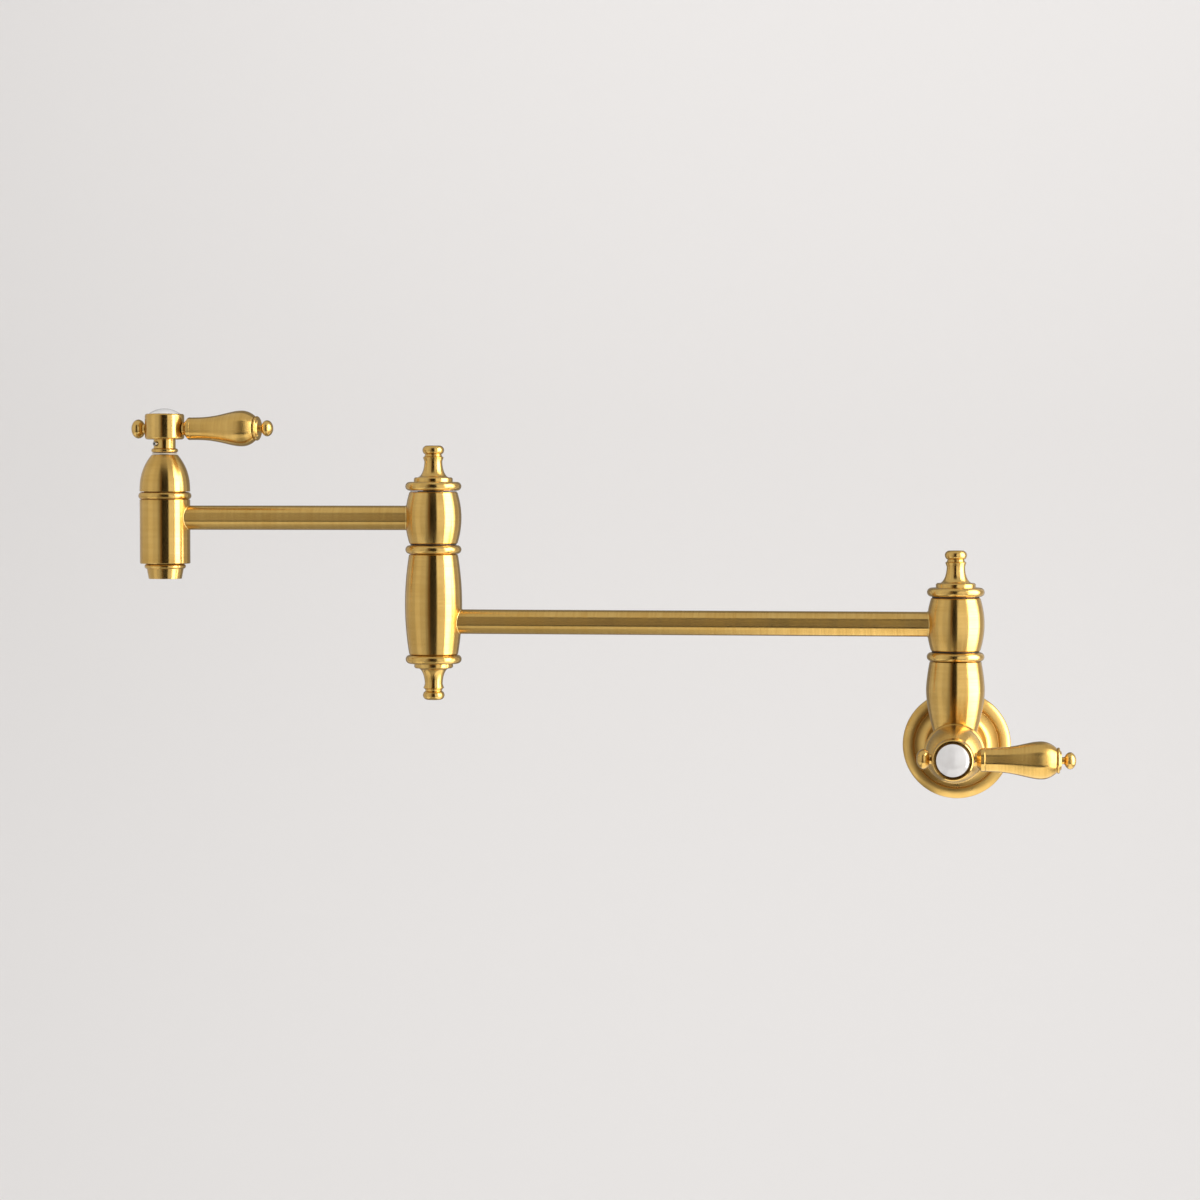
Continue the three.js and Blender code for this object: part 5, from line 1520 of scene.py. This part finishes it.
def area_light(name, place, aim, size, power, tint=(1, 1, 1)):
    """A soft box that faces a point and is never seen by the camera."""
    lamp = bpy.data.lights.new(name, "AREA")
    lamp.shape, lamp.size, lamp.size_y, lamp.energy, lamp.color = "RECTANGLE", size[0], size[1], power, tint
    made = bpy.data.objects.new(name, lamp)
    made.location = place
    made.rotation_euler = (Vector(aim) - Vector(place)).to_track_quat("-Z", "Y").to_euler()
    made.visible_camera = False
    bpy.context.scene.collection.objects.link(made)
    return made


def card(name, low, high, glow, warmth):
    """An upright or level studio card that only reflections show."""
    (x0, y0, z0), (x1, y1, z1) = low, high
    mesh = bpy.data.meshes.new(name)
    side = (x0, y1, z0) if x0 == x1 else (x1, y0, z0)
    other = (x1, y0, z1) if x0 == x1 else (x0, y1, z1)
    mesh.from_pydata([(x0, y0, z0), side, (x1, y1, z1), other], [], [(0, 1, 2, 3)])
    made = bpy.data.objects.new(name, mesh)
    material, tree = new_material(name + "_cloth")
    shades = [glow * (full - warmth * lack) for full, lack in zip(NEUTRAL, WARMTH)]
    cloth = add_node(tree, "ShaderNodeEmission", {"Color": (*shades, 1)})
    add_node(tree, "ShaderNodeOutputMaterial", {"Surface": cloth.outputs[0]})
    mesh.materials.append(material)
    made.visible_camera = made.visible_diffuse = made.visible_shadow = False
    bpy.context.scene.collection.objects.link(made)


class PotFillerSetStage(PieceOperator, bpy.types.Operator):
    """Set the camera, the pale floor with its sweep, and the soft studio light"""

    bl_idname = "pot_filler.set_stage"
    bl_label = "Stage"

    def execute(self, context):
        s = settings("stage")
        camera = bpy.data.cameras.new("camera")
        camera.lens, camera.sensor_width = s.lens, 36.0
        camera.clip_start, camera.clip_end = 0.05, 60.0
        made = bpy.data.objects.new("camera", camera)
        made.location = s.camera
        made.rotation_euler = (math.pi / 2 - s.pitch, 0, s.yaw)
        context.scene.collection.objects.link(made)
        context.scene.camera = made

        turns = [math.pi / 2 * (i + 1) / SWEEP_STEPS for i in range(SWEEP_STEPS)]
        level, bend = -s.floor, FLOOR_BEND
        side = [(FLOOR_NEAR, level), (FLOOR_FAR, level)]
        side += [(FLOOR_FAR + bend * math.sin(a), level + bend * (1 - math.cos(a))) for a in turns]
        side += [(FLOOR_FAR + bend, level + SWEEP_HEIGHT)]
        verts = [(x, y, z) for y, z in side for x in (-HALF_WIDTH, HALF_WIDTH)]
        faces = [(2 * i, 2 * i + 1, 2 * i + 3, 2 * i + 2) for i in range(len(side) - 1)]
        mesh = bpy.data.meshes.new("studio_floor")
        mesh.from_pydata(verts, [], faces)
        floor = shown("studio_floor", mesh)
        material, tree = new_material("pale_floor_paint")
        paint = {"Base Color": tuple(s.sweep), "Roughness": 0.9, "Specular IOR Level": 0.1}
        finish_material(tree, paint, {})
        mesh.materials.append(material)

        world = bpy.data.worlds.new("studio")
        world.use_nodes = True
        sky = world.node_tree.nodes["Background"].inputs
        sky["Color"].default_value, sky["Strength"].default_value = (1.0, 0.99, 0.98, 1), s.sky
        context.scene.world = world
        context.scene.view_settings.view_transform = "Standard"

        window = (1.88, -0.41, 0.8), (-0.3, -0.41, 0.8), (1.9, 2.4), s.window
        area_light("window_right", *window, (1, 0.99, 0.95))
        wash = area_light("background_wash", (0, 1.6, 2.6), (0, 4.2, -0.3), (5.0, 2.0), s.wash)
        wash.visible_glossy = False
        for name, row in CARDS.items():
            card(name, *row)
        return {"FINISHED"}


# ---- Panel and registration ----

OPERATORS = (
    PotFillerMakeFlange,
    PotFillerMakeValveHousing,
    PotFillerMakeSwivels,
    PotFillerMakeBarrels,
    PotFillerMakeFinials,
    PotFillerMakeArms,
    PotFillerMakeBonnets,
    PotFillerMakeHandles,
    PotFillerMakeSpout,
    PotFillerFinishHiddenPieces,
    PotFillerSetStage,
)


class VIEW3D_PT_pot_filler(bpy.types.Panel):
    """Lists the steps that build the pot filler, and its sizes"""

    bl_label = "Pot Filler"
    bl_space_type = "VIEW_3D"
    bl_region_type = "UI"
    bl_category = "Pot Filler"

    def draw(self, context):
        for operator in OPERATORS:
            self.layout.operator(operator.bl_idname)
        for name, group in SETTINGS.items():
            box = self.layout.box()
            box.label(text=group.__doc__)
            for size in group.__annotations__:
                box.prop(settings(name), size)


def register():
    for group in (*SETTINGS.values(), *OPERATORS, VIEW3D_PT_pot_filler):
        bpy.utils.register_class(group)
    for name, group in SETTINGS.items():
        setattr(bpy.types.Scene, "pot_filler_" + name, PointerProperty(type=group))


def unregister():
    for name in SETTINGS:
        delattr(bpy.types.Scene, "pot_filler_" + name)
    for group in reversed((*SETTINGS.values(), *OPERATORS, VIEW3D_PT_pot_filler)):
        bpy.utils.unregister_class(group)


def main():
    register()
    for operator in OPERATORS:
        group, name = operator.bl_idname.split(".")
        getattr(getattr(bpy.ops, group), name)()


if __name__ == "__main__":
    main()
